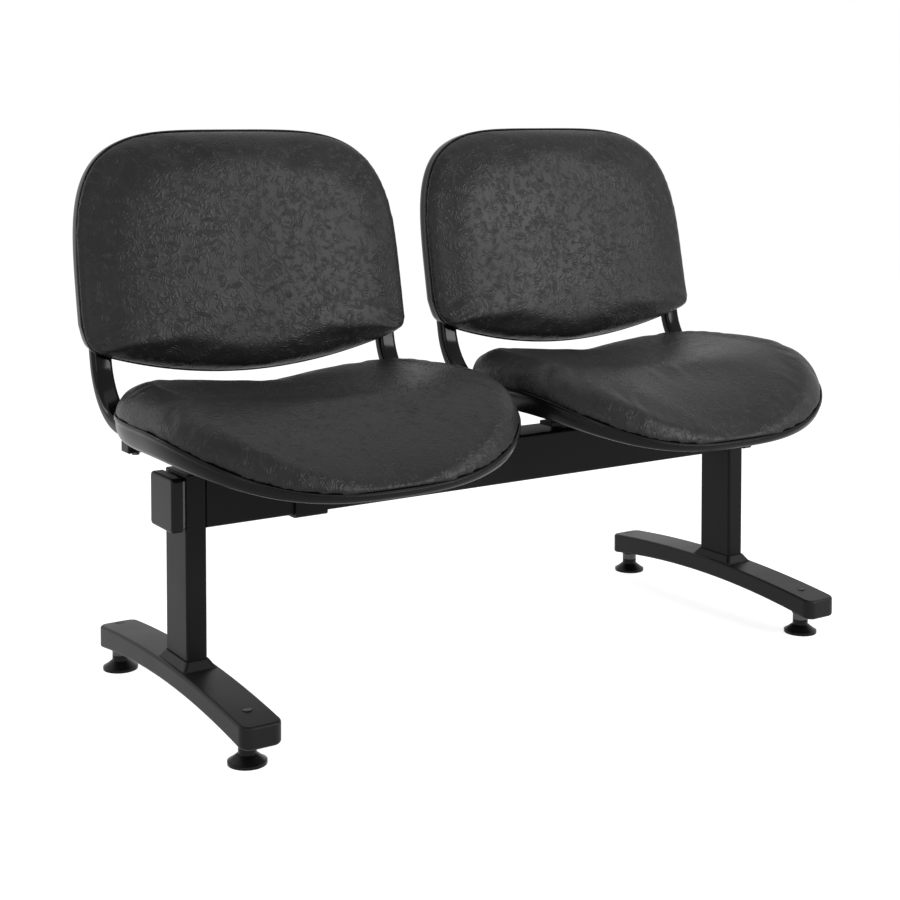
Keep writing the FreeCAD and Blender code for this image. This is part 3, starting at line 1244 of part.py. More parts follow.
for item in doc.Objects:
    if "Invalid" in item.State or "Error" in item.State:
        raise RuntimeError(f"{item.Label} was not built: {item.State}")
os.makedirs("parts", exist_ok=True)
bench = FreeCAD.BoundBox()
for part in parts:
    if part.Shape.isNull() or not part.Shape.isValid():
        raise RuntimeError(f"{part.Label} has no valid shape")
    part.Shape.exportStep(f"parts/{part.Label}.step")
    bench.add(part.Shape.optimalBoundingBox(False, False))
print(len(parts), "sub-parts, moved along y by", round(shift, 3))
print("size", round(bench.XLength, 2), round(bench.YLength, 2), round(bench.ZLength, 2),
      "from z", round(bench.ZMin, 3))
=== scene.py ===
import json
import math

import bpy
import numpy as np
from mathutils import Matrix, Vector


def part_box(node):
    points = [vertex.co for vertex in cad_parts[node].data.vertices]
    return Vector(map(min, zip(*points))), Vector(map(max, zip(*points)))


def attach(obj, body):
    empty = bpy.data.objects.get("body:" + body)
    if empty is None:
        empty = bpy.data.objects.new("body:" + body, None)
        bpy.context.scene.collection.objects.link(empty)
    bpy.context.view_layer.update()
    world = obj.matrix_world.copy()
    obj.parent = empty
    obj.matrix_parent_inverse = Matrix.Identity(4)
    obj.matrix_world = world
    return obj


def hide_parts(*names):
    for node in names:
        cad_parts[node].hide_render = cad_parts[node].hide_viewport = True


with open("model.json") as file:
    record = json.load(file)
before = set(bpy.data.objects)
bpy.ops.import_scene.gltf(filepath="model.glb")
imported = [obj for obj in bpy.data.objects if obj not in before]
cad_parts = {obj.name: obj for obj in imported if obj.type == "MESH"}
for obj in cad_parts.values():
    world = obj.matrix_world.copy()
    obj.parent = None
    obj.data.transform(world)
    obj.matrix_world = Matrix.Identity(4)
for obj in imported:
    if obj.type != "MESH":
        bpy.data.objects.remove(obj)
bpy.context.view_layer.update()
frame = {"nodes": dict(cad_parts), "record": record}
scene = bpy.context.scene

SIDES = {"left": -1, "right": 1}
MM = 0.001


def middle(node):
    """The middle of a CAD node's box."""
    low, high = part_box(node)
    return (low + high) / 2


# The row's own y for a depth that is measured from the columns' middle, in metres
SHIFT = middle("column_left").y

# The camera stands where the photograph was taken from, in metres and degrees
CAMERA_PLACE = (-1.3762, -2.0237, 0.8139)
CAMERA_TURN, CAMERA_DIP = -33.066, 2.578
LENS, SENSOR, LENS_DROP = 65.18, 36.0, -0.2863
FAR_CLIP = 60.0

camera_data = bpy.data.cameras.new("camera")
camera_data.lens, camera_data.sensor_width = LENS, SENSOR
camera_data.shift_y = LENS_DROP
camera_data.clip_end = FAR_CLIP
camera = bpy.data.objects.new("camera", camera_data)
camera.location = (CAMERA_PLACE[0], CAMERA_PLACE[1] + SHIFT, CAMERA_PLACE[2])
camera.rotation_euler = (math.radians(90 - CAMERA_DIP), 0, math.radians(CAMERA_TURN))
scene.collection.objects.link(camera)
scene.camera = camera


# Sizes in millimetres, as in the solids: y from the columns' middle, x from a chair's own middle

PITCH = (middle("seat_cushion_right").x - middle("seat_cushion_left").x) / MM

# Seat: half width, middle and reach of its outline, and the outline's powers before and behind the middle
SEAT_HALF, SEAT_MIDDLE, SEAT_REACH = 276.0, -37.0, 218.0
SEAT_POWER, SEAT_POWER_REAR = 2.686, 3.0
# Rim: its level height, its fall at the front edge, and where and how the fall starts
RIM, RIM_DROP, RIM_DROP_START, RIM_DROP_POWER = 412.0, 75.0, 40.0, 2.4
# Upholstery above the rim at the shoulders and in the middle, and both places as shares of the half width
BOLSTER, HOLLOW = 34.0, 22.0
SEAT_SIDE, SEAT_SHOULDER = 0.975, 0.76
# Shell's depth under the rim, level part and front edge
SEAT_DEEP, SEAT_LIP = 36.5, 18.0

# Back: heights of its lower edge, lower corners, shoulders and top, and half widths at shoulders and corners
BACK_LOW, BACK_CORNER, BACK_SHOULDER, BACK_TOP = 437.0, 484.0, 520.0, 798.0
BACK_HALF, BACK_CORNER_HALF, BACK_POWER = 267.0, 262.0, 4.1
CORNER_POWER = 22.0
# Seam's y at a height of its own, its lean, and how far the sides come forward, high and low
BACK_SEAM, SEAM_HEIGHT, LEAN = 212.0, 600, math.radians(11.4)
WRAP_TOP, WRAP_LOW = 12.0, 22.0
# Upholstery before the seam in the middle and at the edge, the edge's rounding and the ends' fading
BACK_MID, BACK_EDGE, BACK_ROUND, BACK_FADE = 38.0, 22.0, 12, 26
# Shell's depth behind the seam in the middle, at the sides and at the lower corners
BACK_DEEP, BACK_SIDE, BACK_SIDE_LOW = 33.0, 30.0, 36.0

# Side tubes: place beside the chair's middle, section, level part, bend and top
TUBE_OUT, TUBE_WIDE, TUBE_THICK, TUBE_ROUND = 236.0, 30.0, 20.0, 7.0
TUBE_LEVEL, TUBE_FRONT, TUBE_BEND_BACK, TUBE_BEND, TUBE_TOP = 388.0, 125.0, 91.5, 100.0, 690.0
TUBE_ROOM = 0.5

# Shells' wall, and the gap between rim and seam
WALL, SEAM_GAP = 2.6, 0.4
# Edges stay sharp where faces meet at more than this many degrees
COVER_CREASE, TUBE_CREASE = 35, 50
# Covers: how far the sides and the top start inside the finished form, how deep the hem reaches below the
# seam before it is seated, how far it is seated below the seam, and how high it is held while it swells
SEAT_SHRINK, BACK_SHRINK, SINK = 2.5, 2.0, 4.0
SEAT_HEM, BACK_HEM, SEATED = 7, 6, 1.5
SEAT_HOLD, BACK_HOLD = 4.0, 5.0
# Even mesh of the covers and the furthest that a point may swell, in metres
VOXEL, SWELL = 0.0048, 0.006
PRESSURE, SWELL_FRAMES = 4.0, 20


# Meshes from whole arrays

def linked(name, mesh, smooth=True):
    """A new object that shows this mesh."""
    mesh.validate()
    if smooth:
        mesh.shade_smooth()
    piece = bpy.data.objects.new(name, mesh)
    scene.collection.objects.link(piece)
    return piece


def signed_volume(points, faces):
    """A sixth of the sum of triple products over each quad's two triangles: above 0 where faces look out."""
    a, b, c, d = (points[faces[:, i]] for i in range(4))
    first = np.einsum("ij,ij->i", a, np.cross(b, c))
    return (first + np.einsum("ij,ij->i", a, np.cross(c, d))).sum() / 6


def quads(rows, columns):
    """Corner numbers of the quads of a grid whose columns close on themselves."""
    i = np.arange(rows - 1)[:, None]
    j = np.arange(columns)[None, :]
    beside = (j + 1) % columns
    here, below = i * columns, (i + 1) * columns
    return np.stack([here + j, here + beside, below + beside, below + j], -1).reshape(-1, 4)


def ringed(name, grid):
    """A surface through rings of points in millimetres, its two end rings closed by flat faces."""
    rows, columns = grid.shape[:2]
    points = grid.reshape(-1, 3) * MM
    faces = quads(rows, columns)
    ends = [np.arange(columns)[::-1], (rows - 1) * columns + np.arange(columns)]
    if signed_volume(points, faces) < 0:
        faces, ends = faces[:, ::-1], [end[::-1] for end in ends]
    mesh = bpy.data.meshes.new(name)
    mesh.from_pydata(points.tolist(), [], faces.tolist() + [end.tolist() for end in ends])
    return mesh


def arc(first, second, third, steps, last=False):
    """Points along the circle through three points, for rows of such points at once.

    The circle's middle is where the three points' perpendicular bisectors meet; the angle runs from the first
    point to the third through the second, and the third is left out unless it is asked for.
    """
    (ax, ay), (bx, by), (cx, cy) = (np.moveaxis(point, -1, 0) for point in (first, second, third))
    scale = 2 * (ax * (by - cy) + bx * (cy - ay) + cx * (ay - by))
    sa, sb, sc = ax ** 2 + ay ** 2, bx ** 2 + by ** 2, cx ** 2 + cy ** 2
    mx = (sa * (by - cy) + sb * (cy - ay) + sc * (ay - by)) / scale
    my = (sa * (cx - bx) + sb * (ax - cx) + sc * (bx - ax)) / scale
    start = np.arctan2(ay - my, ax - mx)
    turn = np.arctan2(cy - my, cx - mx) - start
    turn = np.where(scale > 0, np.mod(turn, 2 * np.pi), -np.mod(-turn, 2 * np.pi))
    share = np.linspace(0, 1, steps + 1)[: steps + 1 if last else steps]
    angle = start[:, None] + turn[:, None] * share[None, :]
    radius = np.hypot(ax - mx, ay - my)[:, None]
    return np.stack([mx[:, None] + radius * np.cos(angle), my[:, None] + radius * np.sin(angle)], -1)


def pairs(*values):
    """Rows of two coordinates."""
    return np.stack(np.broadcast_arrays(*values), -1).astype(float)


def mirror(points):
    """The same points on the other side of the middle."""
    return points * np.array([-1.0, 1.0])


# The seats' form

def seat_width(y):
    """Half the seat's width at y: a squared-off oval, squarer behind its middle than in front."""
    share = np.clip(np.abs(y - SEAT_MIDDLE) / SEAT_REACH, 0, 1)
    power = np.where(y < SEAT_MIDDLE, SEAT_POWER, SEAT_POWER_REAR)
    return SEAT_HALF * (1 - share ** power) ** (1 / power)


def seat_ahead(y):
    """0 where the rim is level, rising to 1 at the front edge."""
    return np.clip(-RIM_DROP_START - y, 0, None) / (SEAT_REACH - SEAT_MIDDLE - RIM_DROP_START)


def rim_height(y):
    """Height of the seam: level, then falling with a power of the way to the front edge."""
    return RIM - RIM_DROP * seat_ahead(y) ** RIM_DROP_POWER


def seat_deep(y):
    """Depth of the shell under the seam: less with the square of the way to the front edge."""
    return SEAT_DEEP - (SEAT_DEEP - SEAT_LIP) * seat_ahead(y) ** 2


def seat_pad():
    """Sections across the seat, from front to back at the sines of even angles.

    Each is flat below, has an arc from its hem over its side to its shoulder, and a top arc that dips in the
    middle. Towards both ends the upholstery gets lower with the root of 1 less the fifth power of the way.
    """
    share = np.sin(np.linspace(-1, 1, 121) * math.pi / 2) * 0.9975
    y = SEAT_MIDDLE + share * (SEAT_REACH - 1.5)
    half, low = seat_width(SEAT_MIDDLE + share * SEAT_REACH), rim_height(y)
    fade = np.sqrt(1 - np.abs(share) ** 5) * 0.55 + 0.45
    hem = pairs(half - np.minimum(2.0, half * 0.03), low - SEAT_HEM)
    side = pairs(half * SEAT_SIDE - SEAT_SHRINK * np.minimum(1, half / 60), low + 0.6 * fade * BOLSTER)
    shoulder = pairs(half * SEAT_SHOULDER, low + fade * BOLSTER - SINK)
    centre = pairs(0 * half, low + fade * HOLLOW - SINK)
    along = np.linspace(0, 1, 40)[:-1, None]
    base = mirror(hem)[:, None] + (hem - mirror(hem))[:, None] * along
    ring = np.concatenate([base, arc(hem, side, shoulder, 20), arc(shoulder, centre, mirror(shoulder), 40),
                           arc(mirror(shoulder), mirror(side), mirror(hem), 20)], 1)
    rows = np.broadcast_to(y[:, None], ring.shape[:2])
    return np.stack([ring[..., 0], rows, ring[..., 1]], -1)


# The backs' form

def lowness(z):
    """0 above the shoulder, 1 at the lower corners."""
    return np.clip((BACK_SHOULDER - z) / (BACK_SHOULDER - BACK_CORNER), 0, 1)


def back_width(z):
    """Half the back's width: the smaller of a bowed lower edge and upright sides with a rounded top.

    The bow grows with the root of the height, the top is an oval of a high power, and the two are joined
    softly, as the sum of both widths to a high negative power.
    """
    bow = BACK_CORNER_HALF * np.sqrt(np.clip((z - BACK_LOW) / (BACK_CORNER - BACK_LOW), 1e-6, None))
    rise = np.clip((z - BACK_SHOULDER) / (BACK_TOP - BACK_SHOULDER), 0, 1)
    sides = BACK_HALF * (1 - rise ** BACK_POWER) ** (1 / BACK_POWER)
    sides = np.maximum(sides - (BACK_HALF - BACK_CORNER_HALF) * lowness(z), 1e-3)
    return (bow ** -CORNER_POWER + sides ** -CORNER_POWER) ** (-1 / CORNER_POWER)


def back_seam(z):
    """The seam's y on the back's middle line, which leans."""
    return BACK_SEAM + math.tan(LEAN) * (z - SEAM_HEIGHT)


def back_wrap(z):
    """How far the sides come forward of the middle line."""
    return WRAP_TOP + (WRAP_LOW - WRAP_TOP) * lowness(z)


def back_y(x, z):
    """The seam's y at a point of the back: forward of the middle line with the square of the way out."""
    return back_seam(z) - back_wrap(z) * (x / BACK_HALF) ** 2


def back_pad():
    """Level sections of the back's cushion, from its lower edge to its top, closer together at both ends.

    Each has a rear arc along the hem, an arc round each edge and a full front arc. Within BACK_FADE of the
    lower edge and the top the upholstery gets thinner along a quarter circle.
    """
    share = (1 - np.cos(np.linspace(0.07, math.pi - 0.07, 131))) / 2
    full = BACK_LOW + (BACK_TOP - BACK_LOW) * share
    halfway = (BACK_LOW + BACK_TOP) / 2
    z = halfway + (full - halfway) * 0.992
    half = np.maximum(back_width(full), 4.0)
    near = np.minimum(full - BACK_LOW, BACK_TOP - full)
    fade = 0.5 + 0.5 * np.sqrt(1 - np.clip(1 - near / BACK_FADE, 0, 1) ** 2)
    edge, soft = np.minimum(3.0, half * 0.05), np.minimum(1.0, half / 60)

    def spot(x, forward):
        """A point this far before the seam's surface."""
        return pairs(x, back_y(x, z) - forward)

    hem, spine = spot(half - edge, -BACK_HEM), spot(0 * half, -BACK_HEM)
    side = spot(half - BACK_SHRINK * soft, 0.55 * fade * BACK_EDGE)
    front = spot(half - BACK_ROUND * soft, fade * BACK_EDGE - SINK * fade)
    centre = pairs(0 * half, back_seam(z) - fade * (BACK_MID - SINK))
    ring = np.concatenate([arc(mirror(hem), spine, hem, 40), arc(hem, side, front, 14),
                           arc(front, centre, mirror(front), 44),
                           arc(mirror(front), mirror(side), mirror(hem), 14)], 1)
    rows = np.broadcast_to(z[:, None], ring.shape[:2])
    return np.stack([ring[..., 0], ring[..., 1], rows], -1)


# Stuffing: the cover swells like a filled pad and stays close to its form

def evaluated(piece):
    """The piece's mesh with its modifiers applied."""
    graph = bpy.context.evaluated_depsgraph_get()
    return bpy.data.meshes.new_from_object(piece.evaluated_get(graph))


def coordinates(mesh):
    """The mesh's points as an array."""
    flat = np.empty(len(mesh.vertices) * 3)
    mesh.vertices.foreach_get("co", flat)
    return flat.reshape(-1, 3)


def stuffed(name, mesh, held, seated):
    """An even mesh, swollen by pressure while its hem is held, then settled and seated on its rim.

    Each point's move is shortened to SWELL times the hyperbolic tangent of its share of SWELL.
    """
    piece = linked(name, mesh)
    even = piece.modifiers.new("even", "REMESH")
    even.mode, even.voxel_size = "VOXEL", VOXEL
    soft = piece.modifiers.new("soft", "SMOOTH")
    soft.factor, soft.iterations = 0.5, 14
    piece.data = evaluated(piece)
    piece.modifiers.clear()
    rest = coordinates(piece.data)
    group = piece.vertex_groups.new(name="held")
    group.add(np.flatnonzero(held(rest / MM)).tolist(), 1.0, "REPLACE")
    cloth = piece.modifiers.new("swell", "CLOTH")
    cloth.settings.use_pressure = True
    cloth.settings.uniform_pressure_force = PRESSURE
    cloth.settings.effector_weights.gravity = 0.0
    cloth.settings.vertex_group_mass = "held"
    cloth.collision_settings.use_collision = False
    cloth.point_cache.frame_start, cloth.point_cache.frame_end = 1, SWELL_FRAMES
    for step in range(1, SWELL_FRAMES + 1):
        scene.frame_set(step)
    moved = coordinates(evaluated(piece)) - rest
    piece.modifiers.clear()
    scene.frame_set(1)
    length = np.maximum(np.linalg.norm(moved, axis=1, keepdims=True), 1e-9)
    rest = rest + moved * (SWELL * np.tanh(length / SWELL) / length)
    piece.data.vertices.foreach_set("co", rest.ravel())
    settled = piece.modifiers.new("settled", "SMOOTH")
    settled.factor, settled.iterations = 0.5, 8
    piece.data = evaluated(piece)
    piece.modifiers.clear()
    piece.data.vertices.foreach_set("co", (seated(coordinates(piece.data) / MM) * MM).ravel())
    piece.data.shade_smooth()
    return piece


def shifted(mesh, name, x):
    """A copy of a chair's mesh, moved along the beam and to the row's own y."""
    copy = mesh.copy()
    copy.name = name
    points = coordinates(copy) + np.array([x * MM, SHIFT, 0])
    copy.vertices.foreach_set("co", points.ravel())
    copy.update()
    return copy


def seat_held(points):
    """Points of the seat's hem, which is stapled to the board."""
    return points[:, 2] < rim_height(points[:, 1]) + SEAT_HOLD


def back_held(points):
    """Points of the back's hem."""
    return points[:, 1] > back_y(points[:, 0], points[:, 2]) - BACK_HOLD


def on_rim(points):
    """No point lies deeper than the shell's rim carries the seat's cover."""
    points[:, 2] = np.maximum(points[:, 2], rim_height(points[:, 1]) - SEATED)
    return points


def on_back_rim(points):
    """No point lies further back than the shell's rim carries the back's cover."""
    points[:, 1] = np.minimum(points[:, 1], back_y(points[:, 0], points[:, 2]) + SEATED)
    return points


# Shells: a dish drawn from its rim's outline, inwards and down

def inward(outline):
    """The unit normals of a closed flat outline that point to its inside."""
    along = np.roll(outline, -1, 0) - np.roll(outline, 1, 0)
    normal = np.stack([-along[:, 1], along[:, 0]], -1)
    normal /= np.linalg.norm(normal, axis=1, keepdims=True)
    towards = outline.mean(0) - outline
    return normal * np.sign((normal * towards).sum(1).sum())


def even_outline(points, count):
    """The same closed outline with points at even distances."""
    closed = np.vstack([points, points[:1]])
    length = np.concatenate([[0], np.cumsum(np.linalg.norm(np.diff(closed, axis=0), axis=1))])
    wanted = np.linspace(0, length[-1], count, endpoint=False)
    return np.stack([np.interp(wanted, length, closed[:, i]) for i in range(2)], -1)


def dish(outline, profile, place):
    """Rings that follow a profile of inset and depth under the outline, then shrink evenly to its middle."""
    normal = inward(outline)
    centre = outline.mean(0)
    rows = [place(outline + normal * inset, depth, 1.0) for inset, depth in profile]
    base, deepest = outline + normal * profile[-1][0], profile[-1][1]
    shares = np.linspace(1, 0, FLOOR_RINGS + 1)[1:-1]
    return np.array(rows + [place(centre + (base - centre) * share, deepest, share) for share in shares])


def shell(name, grid, outward):
    """A dish whose wall grows inwards from the outside, its middle closed by one flat face."""
    rows, columns = grid.shape[:2]
    points = grid.reshape(-1, 3) * MM
    faces = quads(rows, columns)
    end = (rows - 1) * columns + np.arange(columns)
    a, b, c, d = (points[faces[:, i]] for i in range(4))
    if (np.cross(c - a, d - b) @ np.array(outward)).sum() < 0:
        faces, end = faces[:, ::-1], end[::-1]
    mesh = bpy.data.meshes.new(name)
    mesh.from_pydata(points.tolist(), [], faces.tolist() + [end.tolist()])
    piece = linked(name, mesh)
    wall = piece.modifiers.new("wall", "SOLIDIFY")
    wall.thickness, wall.offset, wall.use_even_offset = WALL * MM, -1.0, True
    piece.data = evaluated(piece)
    piece.modifiers.clear()
    return piece


# The rolled rim of both kinds of shell, from the ledge inside it over its top to the step below it, and the
# back shell's side after it, each as an inset from the outline and a depth under it
BAND = [(9.0, 3.6), (5.0, 2.8), (3.2, 1.8), (2.4, 0.5), (1.4, 0.0), (0.5, 0.5), (0.0, 1.6), (0.0, 5.4),
        (0.5, 6.4), (1.3, 6.9), (1.5, 7.6)]
BACK_BEND = [(1.6, 8.6), (1.7, 14.0), (2.2, 19.0), (3.6, 23.5), (6.2, 27.0), (10.0, 29.3), (14.0, 30.0)]
FLOOR_RINGS = 22


def seat_outline():
    """The seat shell's edge from above: powers of cosine and sine that give the same oval as seat_width."""
    angle = np.linspace(0, 2 * np.pi, 1440, endpoint=False)
    power = np.where(np.sin(angle) < 0, SEAT_POWER, SEAT_POWER_REAR)
    x = np.sign(np.cos(angle)) * np.abs(np.cos(angle)) ** (2 / power) * (SEAT_HALF - 1)
    y = np.sign(np.sin(angle)) * np.abs(np.sin(angle)) ** (2 / power) * (SEAT_REACH - 0.5) + SEAT_MIDDLE
    return even_outline(np.stack([x, y], -1), 300)


def seat_dish():
    """The seat shell's outside: a rolled rim, a step under it, a wall and a rounded floor."""
    lower = arc(pairs([1.6], [8.4]), pairs([2.4], [16.0]), pairs([5.0], [26.0]), 6)[0]
    bend = arc(pairs([5.0], [26.0]), pairs([10.0], [33.5]), pairs([22.0], [36.5]), 10, True)[0]
    profile = BAND + [tuple(point) for point in np.vstack([lower, bend])]

    def place(points, depth, _share):
        """Down from the rim by the depth, in proportion to the shell's own depth there."""
        y = points[:, 1]
        return np.stack([points[:, 0], y, rim_height(y) - SEAM_GAP - depth * (seat_deep(y) / SEAT_DEEP)], -1)

    return dish(seat_outline(), profile, place)


def back_outline():
    """The back shell's edge from the front: its width at heights that lie closer together at both ends."""
    share = (1 - np.cos(np.linspace(0, math.pi, 900))) / 2
    z = BACK_LOW + 0.01 + (BACK_TOP - 0.02 - BACK_LOW) * share
    right = np.stack([back_width(z) - 1, z], -1)
    left = right[::-1] * np.array([-1, 1])
    return even_outline(np.vstack([right, left]), 320)


def back_dish():
    """The back shell's outside: a rim band, a rounded edge and a gently domed rear."""
    outline = back_outline()
    centre_z = outline[:, 1].mean()

    def reach(z):
        """The sides' depth in proportion to that above the shoulders."""
        return 1 + (BACK_SIDE_LOW / BACK_SIDE - 1) * lowness(z)

    def place(points, depth, share):
        """Behind the seam by the depth; inside the edge, a dome that falls with the square of the way out."""
        x, z = points[:, 0], points[:, 1]
        if share == 1.0:
            return np.stack([x, back_y(x, z) + SEAM_GAP + depth * reach(z), z], -1)
        rim_x, rim_z = x / share, centre_z + (z - centre_z) / share
        fall = BACK_DEEP - depth * reach(rim_z) + back_wrap(rim_z) * (rim_x / BACK_HALF) ** 2
        return np.stack([x, back_seam(z) + SEAM_GAP + BACK_DEEP - fall * share ** 2, z], -1)

    return dish(outline, BAND + BACK_BEND, place)


# Side tubes: an oval section carried along a bent path

def tube_path():
    """Points and slopes of the side tube's middle: level, round a bend by even angles, then leaning."""
    angle = np.linspace(0, math.pi / 2 - LEAN, 44)
    bend_y, bend_z = TUBE_BEND_BACK + TUBE_BEND * np.sin(angle), TUBE_LEVEL + TUBE_BEND * (1 - np.cos(angle))
    rise = np.linspace(0, TUBE_TOP - bend_z[-1], 12)[1:]
    level = np.linspace(-TUBE_FRONT, TUBE_BEND_BACK, 10)[:-1]
    y = np.concatenate([level, bend_y, bend_y[-1] + math.tan(LEAN) * rise])
    z = np.concatenate([0 * level + TUBE_LEVEL, bend_z, bend_z[-1] + rise])
    slope = np.concatenate([0 * level, angle, 0 * rise + angle[-1]])
    return y, z, slope


def oval(wide, thick, corner, steps=8):
    """A rectangle with a quarter circle at each corner, as across and through distances."""
    quarter = np.repeat(np.arange(4), steps)
    angle = (quarter + np.tile(np.linspace(0, 1, steps), 4)) * math.pi / 2
    across = np.where((quarter == 0) | (quarter == 3), 1, -1) * (wide / 2 - corner)
    through = np.where(quarter < 2, 1, -1) * (thick / 2 - corner)
    return across + corner * np.cos(angle), through + corner * np.sin(angle)


def tube(name, x, grow=0.0):
    """The section at each point of the path: across along x, through along the path's normal."""
    y, z, slope = tube_path()
    across, through = oval(TUBE_WIDE + 2 * grow, TUBE_THICK + 2 * grow, TUBE_ROUND + grow)
    grid = np.stack(np.broadcast_arrays(x + across[None, :],
                                        y[:, None] - through[None, :] * np.sin(slope)[:, None],
                                        z[:, None] + through[None, :] * np.cos(slope)[:, None]), -1)
    return ringed(name, grid)


def cut_out(piece, cutter):
    """Takes the cutter's space out of the piece and removes the cutter."""
    tool = piece.modifiers.new("cut", "BOOLEAN")
    tool.object, tool.operation, tool.solver = cutter, "DIFFERENCE", "EXACT"
    piece.data = evaluated(piece)
    piece.modifiers.clear()
    bpy.data.objects.remove(cutter)


def creased(piece, angle):
    """Smooth faces, with sharp edges where they meet at more than this many degrees."""
    piece.data.shade_smooth()
    piece.data.set_sharp_from_angle(angle=math.radians(angle))
    return piece


# Shader sums

class Socket:
    """A node's output. Python's operators on it add Math nodes."""

    def __init__(self, tree, out):
        self.tree, self.out = tree, out

    def node(self, kind, settings=None, inputs=None, output=0):
        """Another node: its type, its settings, and the values or links of its sockets."""
        made = self.tree.nodes.new("ShaderNode" + kind)
        for key, value in (settings or {}).items():
            setattr(made, key, value)
        for key, value in (inputs or {}).items():
            if isinstance(value, Socket):
                self.tree.links.new(value.out, made.inputs[key])
            else:
                made.inputs[key].default_value = value
        return Socket(self.tree, made.outputs[output])

    def sum(self, operation, first, second):
        """A Math node on two values."""
        return self.node("Math", {"operation": operation}, {0: first, 1: second})

    def __add__(self, other):
        return self.sum("ADD", self, other)

    def __sub__(self, other):
        return self.sum("SUBTRACT", self, other)

    def __rsub__(self, other):
        return self.sum("SUBTRACT", other, self)

    def __mul__(self, other):
        return self.sum("MULTIPLY", self, other)

    __radd__, __rmul__ = __add__, __mul__

    def noise(self, scale, detail=2.0, rough=0.5, warp=0.0):
        """Soft noise from 0 to 1, at this many waves in a metre."""
        return self.node("TexNoise", inputs={"Vector": self, "Scale": scale, "Detail": detail,
                                             "Roughness": rough, "Distortion": warp})

    def between(self, low, high, start=0.0, end=1.0):
        """This value carried from one range to another, and kept inside it."""
        return self.node("MapRange", inputs={0: self, 1: low, 2: high, 3: start, 4: end})

    def mixed(self, first, second):
        """From the first colour to the second as this value goes from 0 to 1."""
        return self.node("Mix", {"data_type": "RGBA"}, {0: self, 6: first, 7: second}, 2)

    def bump(self, strength, distance, normal=None):
        """A normal that follows this value as a height."""
        inputs = {"Height": self, "Strength": strength, "Distance": distance}
        return self.node("Bump", inputs={**inputs, **({"Normal": normal} if normal else {})})


def grey(value, tint=1.04):
    """A neutral dark colour, very slightly blue."""
    return (value, value, value * tint, 1.0)


def finish(name, varied, **fixed):
    """A material: fixed numbers on the shader's sockets and what varies from the object's coordinates."""
    material = bpy.data.materials.new(name)
    material.use_nodes = True
    tree = material.node_tree
    shader = tree.nodes["Principled BSDF"]
    for key, value in fixed.items():
        shader.inputs[key.replace("_", " ")].default_value = value
    place = Socket(tree, tree.nodes.new("ShaderNodeTexCoord").outputs["Object"])
    for key, value in varied(place).items():
        tree.links.new(value.out, shader.inputs[key])
    return material


def edge_wear_and_highlight(place, radius=0.0012):
    """The normal with edges rounded by this radius in metres, and how far it leaves the real one."""
    soft = place.node("Bevel", {"samples": 4}, {"Radius": radius})
    sharp = place.node("NewGeometry", output=1)
    same = place.node("VectorMath", {"operation": "DOT_PRODUCT"}, {0: soft, 1: sharp}, 1)
    return soft, (1 - same).between(0.02, 0.25)


def coated(base, rub, rough, peel, scale):
    """Powder coat or enamel: fine orange peel, slow changes of tone and lighter rubbed edges.

    Its values are the base and rubbed tones, the roughness, and the orange peel's strength and waves in a
    metre.
    """
    def varied(place):
        soft, edge = edge_wear_and_highlight(place)
        slow = place.noise(9.0, 3.0)
        patch = place.noise(60.0, 4.0).between(0.45, 0.7)
        colour = slow.between(0.3, 0.7).mixed(grey(base * 0.85), grey(base * 1.2))
        colour = (edge * patch * 0.6).mixed(colour, grey(rub))
        fine = place.noise(scale, 2.0)
        return {"Base Color": colour, "Roughness": slow.between(0.3, 0.7, rough * 0.92, rough * 1.1),
                "Normal": fine.bump(peel, 0.0002, soft)}
    return varied


def vinyl(place):
    """Coated cloth with an embossed grain of short wandering ridges.

    The ridges are a sine over a soft noise, so they follow its level lines; a finer noise breaks them up, and
    a slow one makes them fainter in patches. The raised ridges are also painted lighter, a painted highlight
    on them.
    """
    flow = place.noise(50.0, 1.0, 0.4, 0.2)
    ridges = flow.node("Math", {"operation": "SINE"}, {0: flow * 70.0})
    breaks = place.noise(80.0, 1.0).between(0.34, 0.6)
    patches = place.noise(9.0, 2.0).between(0.3, 0.7, 0.6, 1.0)
    pores = place.noise(700.0, 2.0)
    slow = place.noise(8.0, 3.0)
    raised = ridges.between(-0.7, 1.0) * breaks * patches
    height = raised + pores * 0.06
    colour = slow.between(0.3, 0.7).mixed(grey(0.008), grey(0.014))
    # painted highlight: the raised ridges are painted lighter, as if light caught them
    colour = (raised * 0.3).mixed(colour, grey(0.026))
    return {"Base Color": colour, "Roughness": slow.between(0.3, 0.7, 0.38, 0.46),
            "Normal": height.bump(0.6, 0.0009)}


def moulded(base, rough):
    """Moulded plastic of this tone and roughness: a very fine grain, faint flow marks and a painted highlight
    on its edges.
    """
    def varied(place):
        soft, edge = edge_wear_and_highlight(place)
        slow = place.noise(6.0, 3.0)
        grain = place.noise(1500.0, 2.0)
        colour = slow.between(0.3, 0.7).mixed(grey(base * 0.8), grey(base * 1.25))
        # painted highlight: the edges are painted three times lighter, as if light caught their rounding
        colour = (edge * 0.35).mixed(colour, grey(base * 3))
        return {"Base Color": colour, "Roughness": slow.between(0.3, 0.7, rough * 0.9, rough * 1.12),
                "Normal": grain.bump(0.25, 0.0001, soft)}
    return varied


def plywood(place):
    """Pale beech veneer with long streaks."""
    long = place.node("Mapping", inputs={"Vector": place, "Scale": (4.0, 90.0, 90.0)})
    streak = long.noise(1.0, 4.0)
    colour = streak.between(0.3, 0.7).mixed((0.42, 0.27, 0.15, 1), (0.62, 0.45, 0.28, 1))
    return {"Base Color": colour, "Roughness": streak.between(0.3, 0.7, 0.5, 0.65),
            "Normal": streak.bump(0.3, 0.0003)}


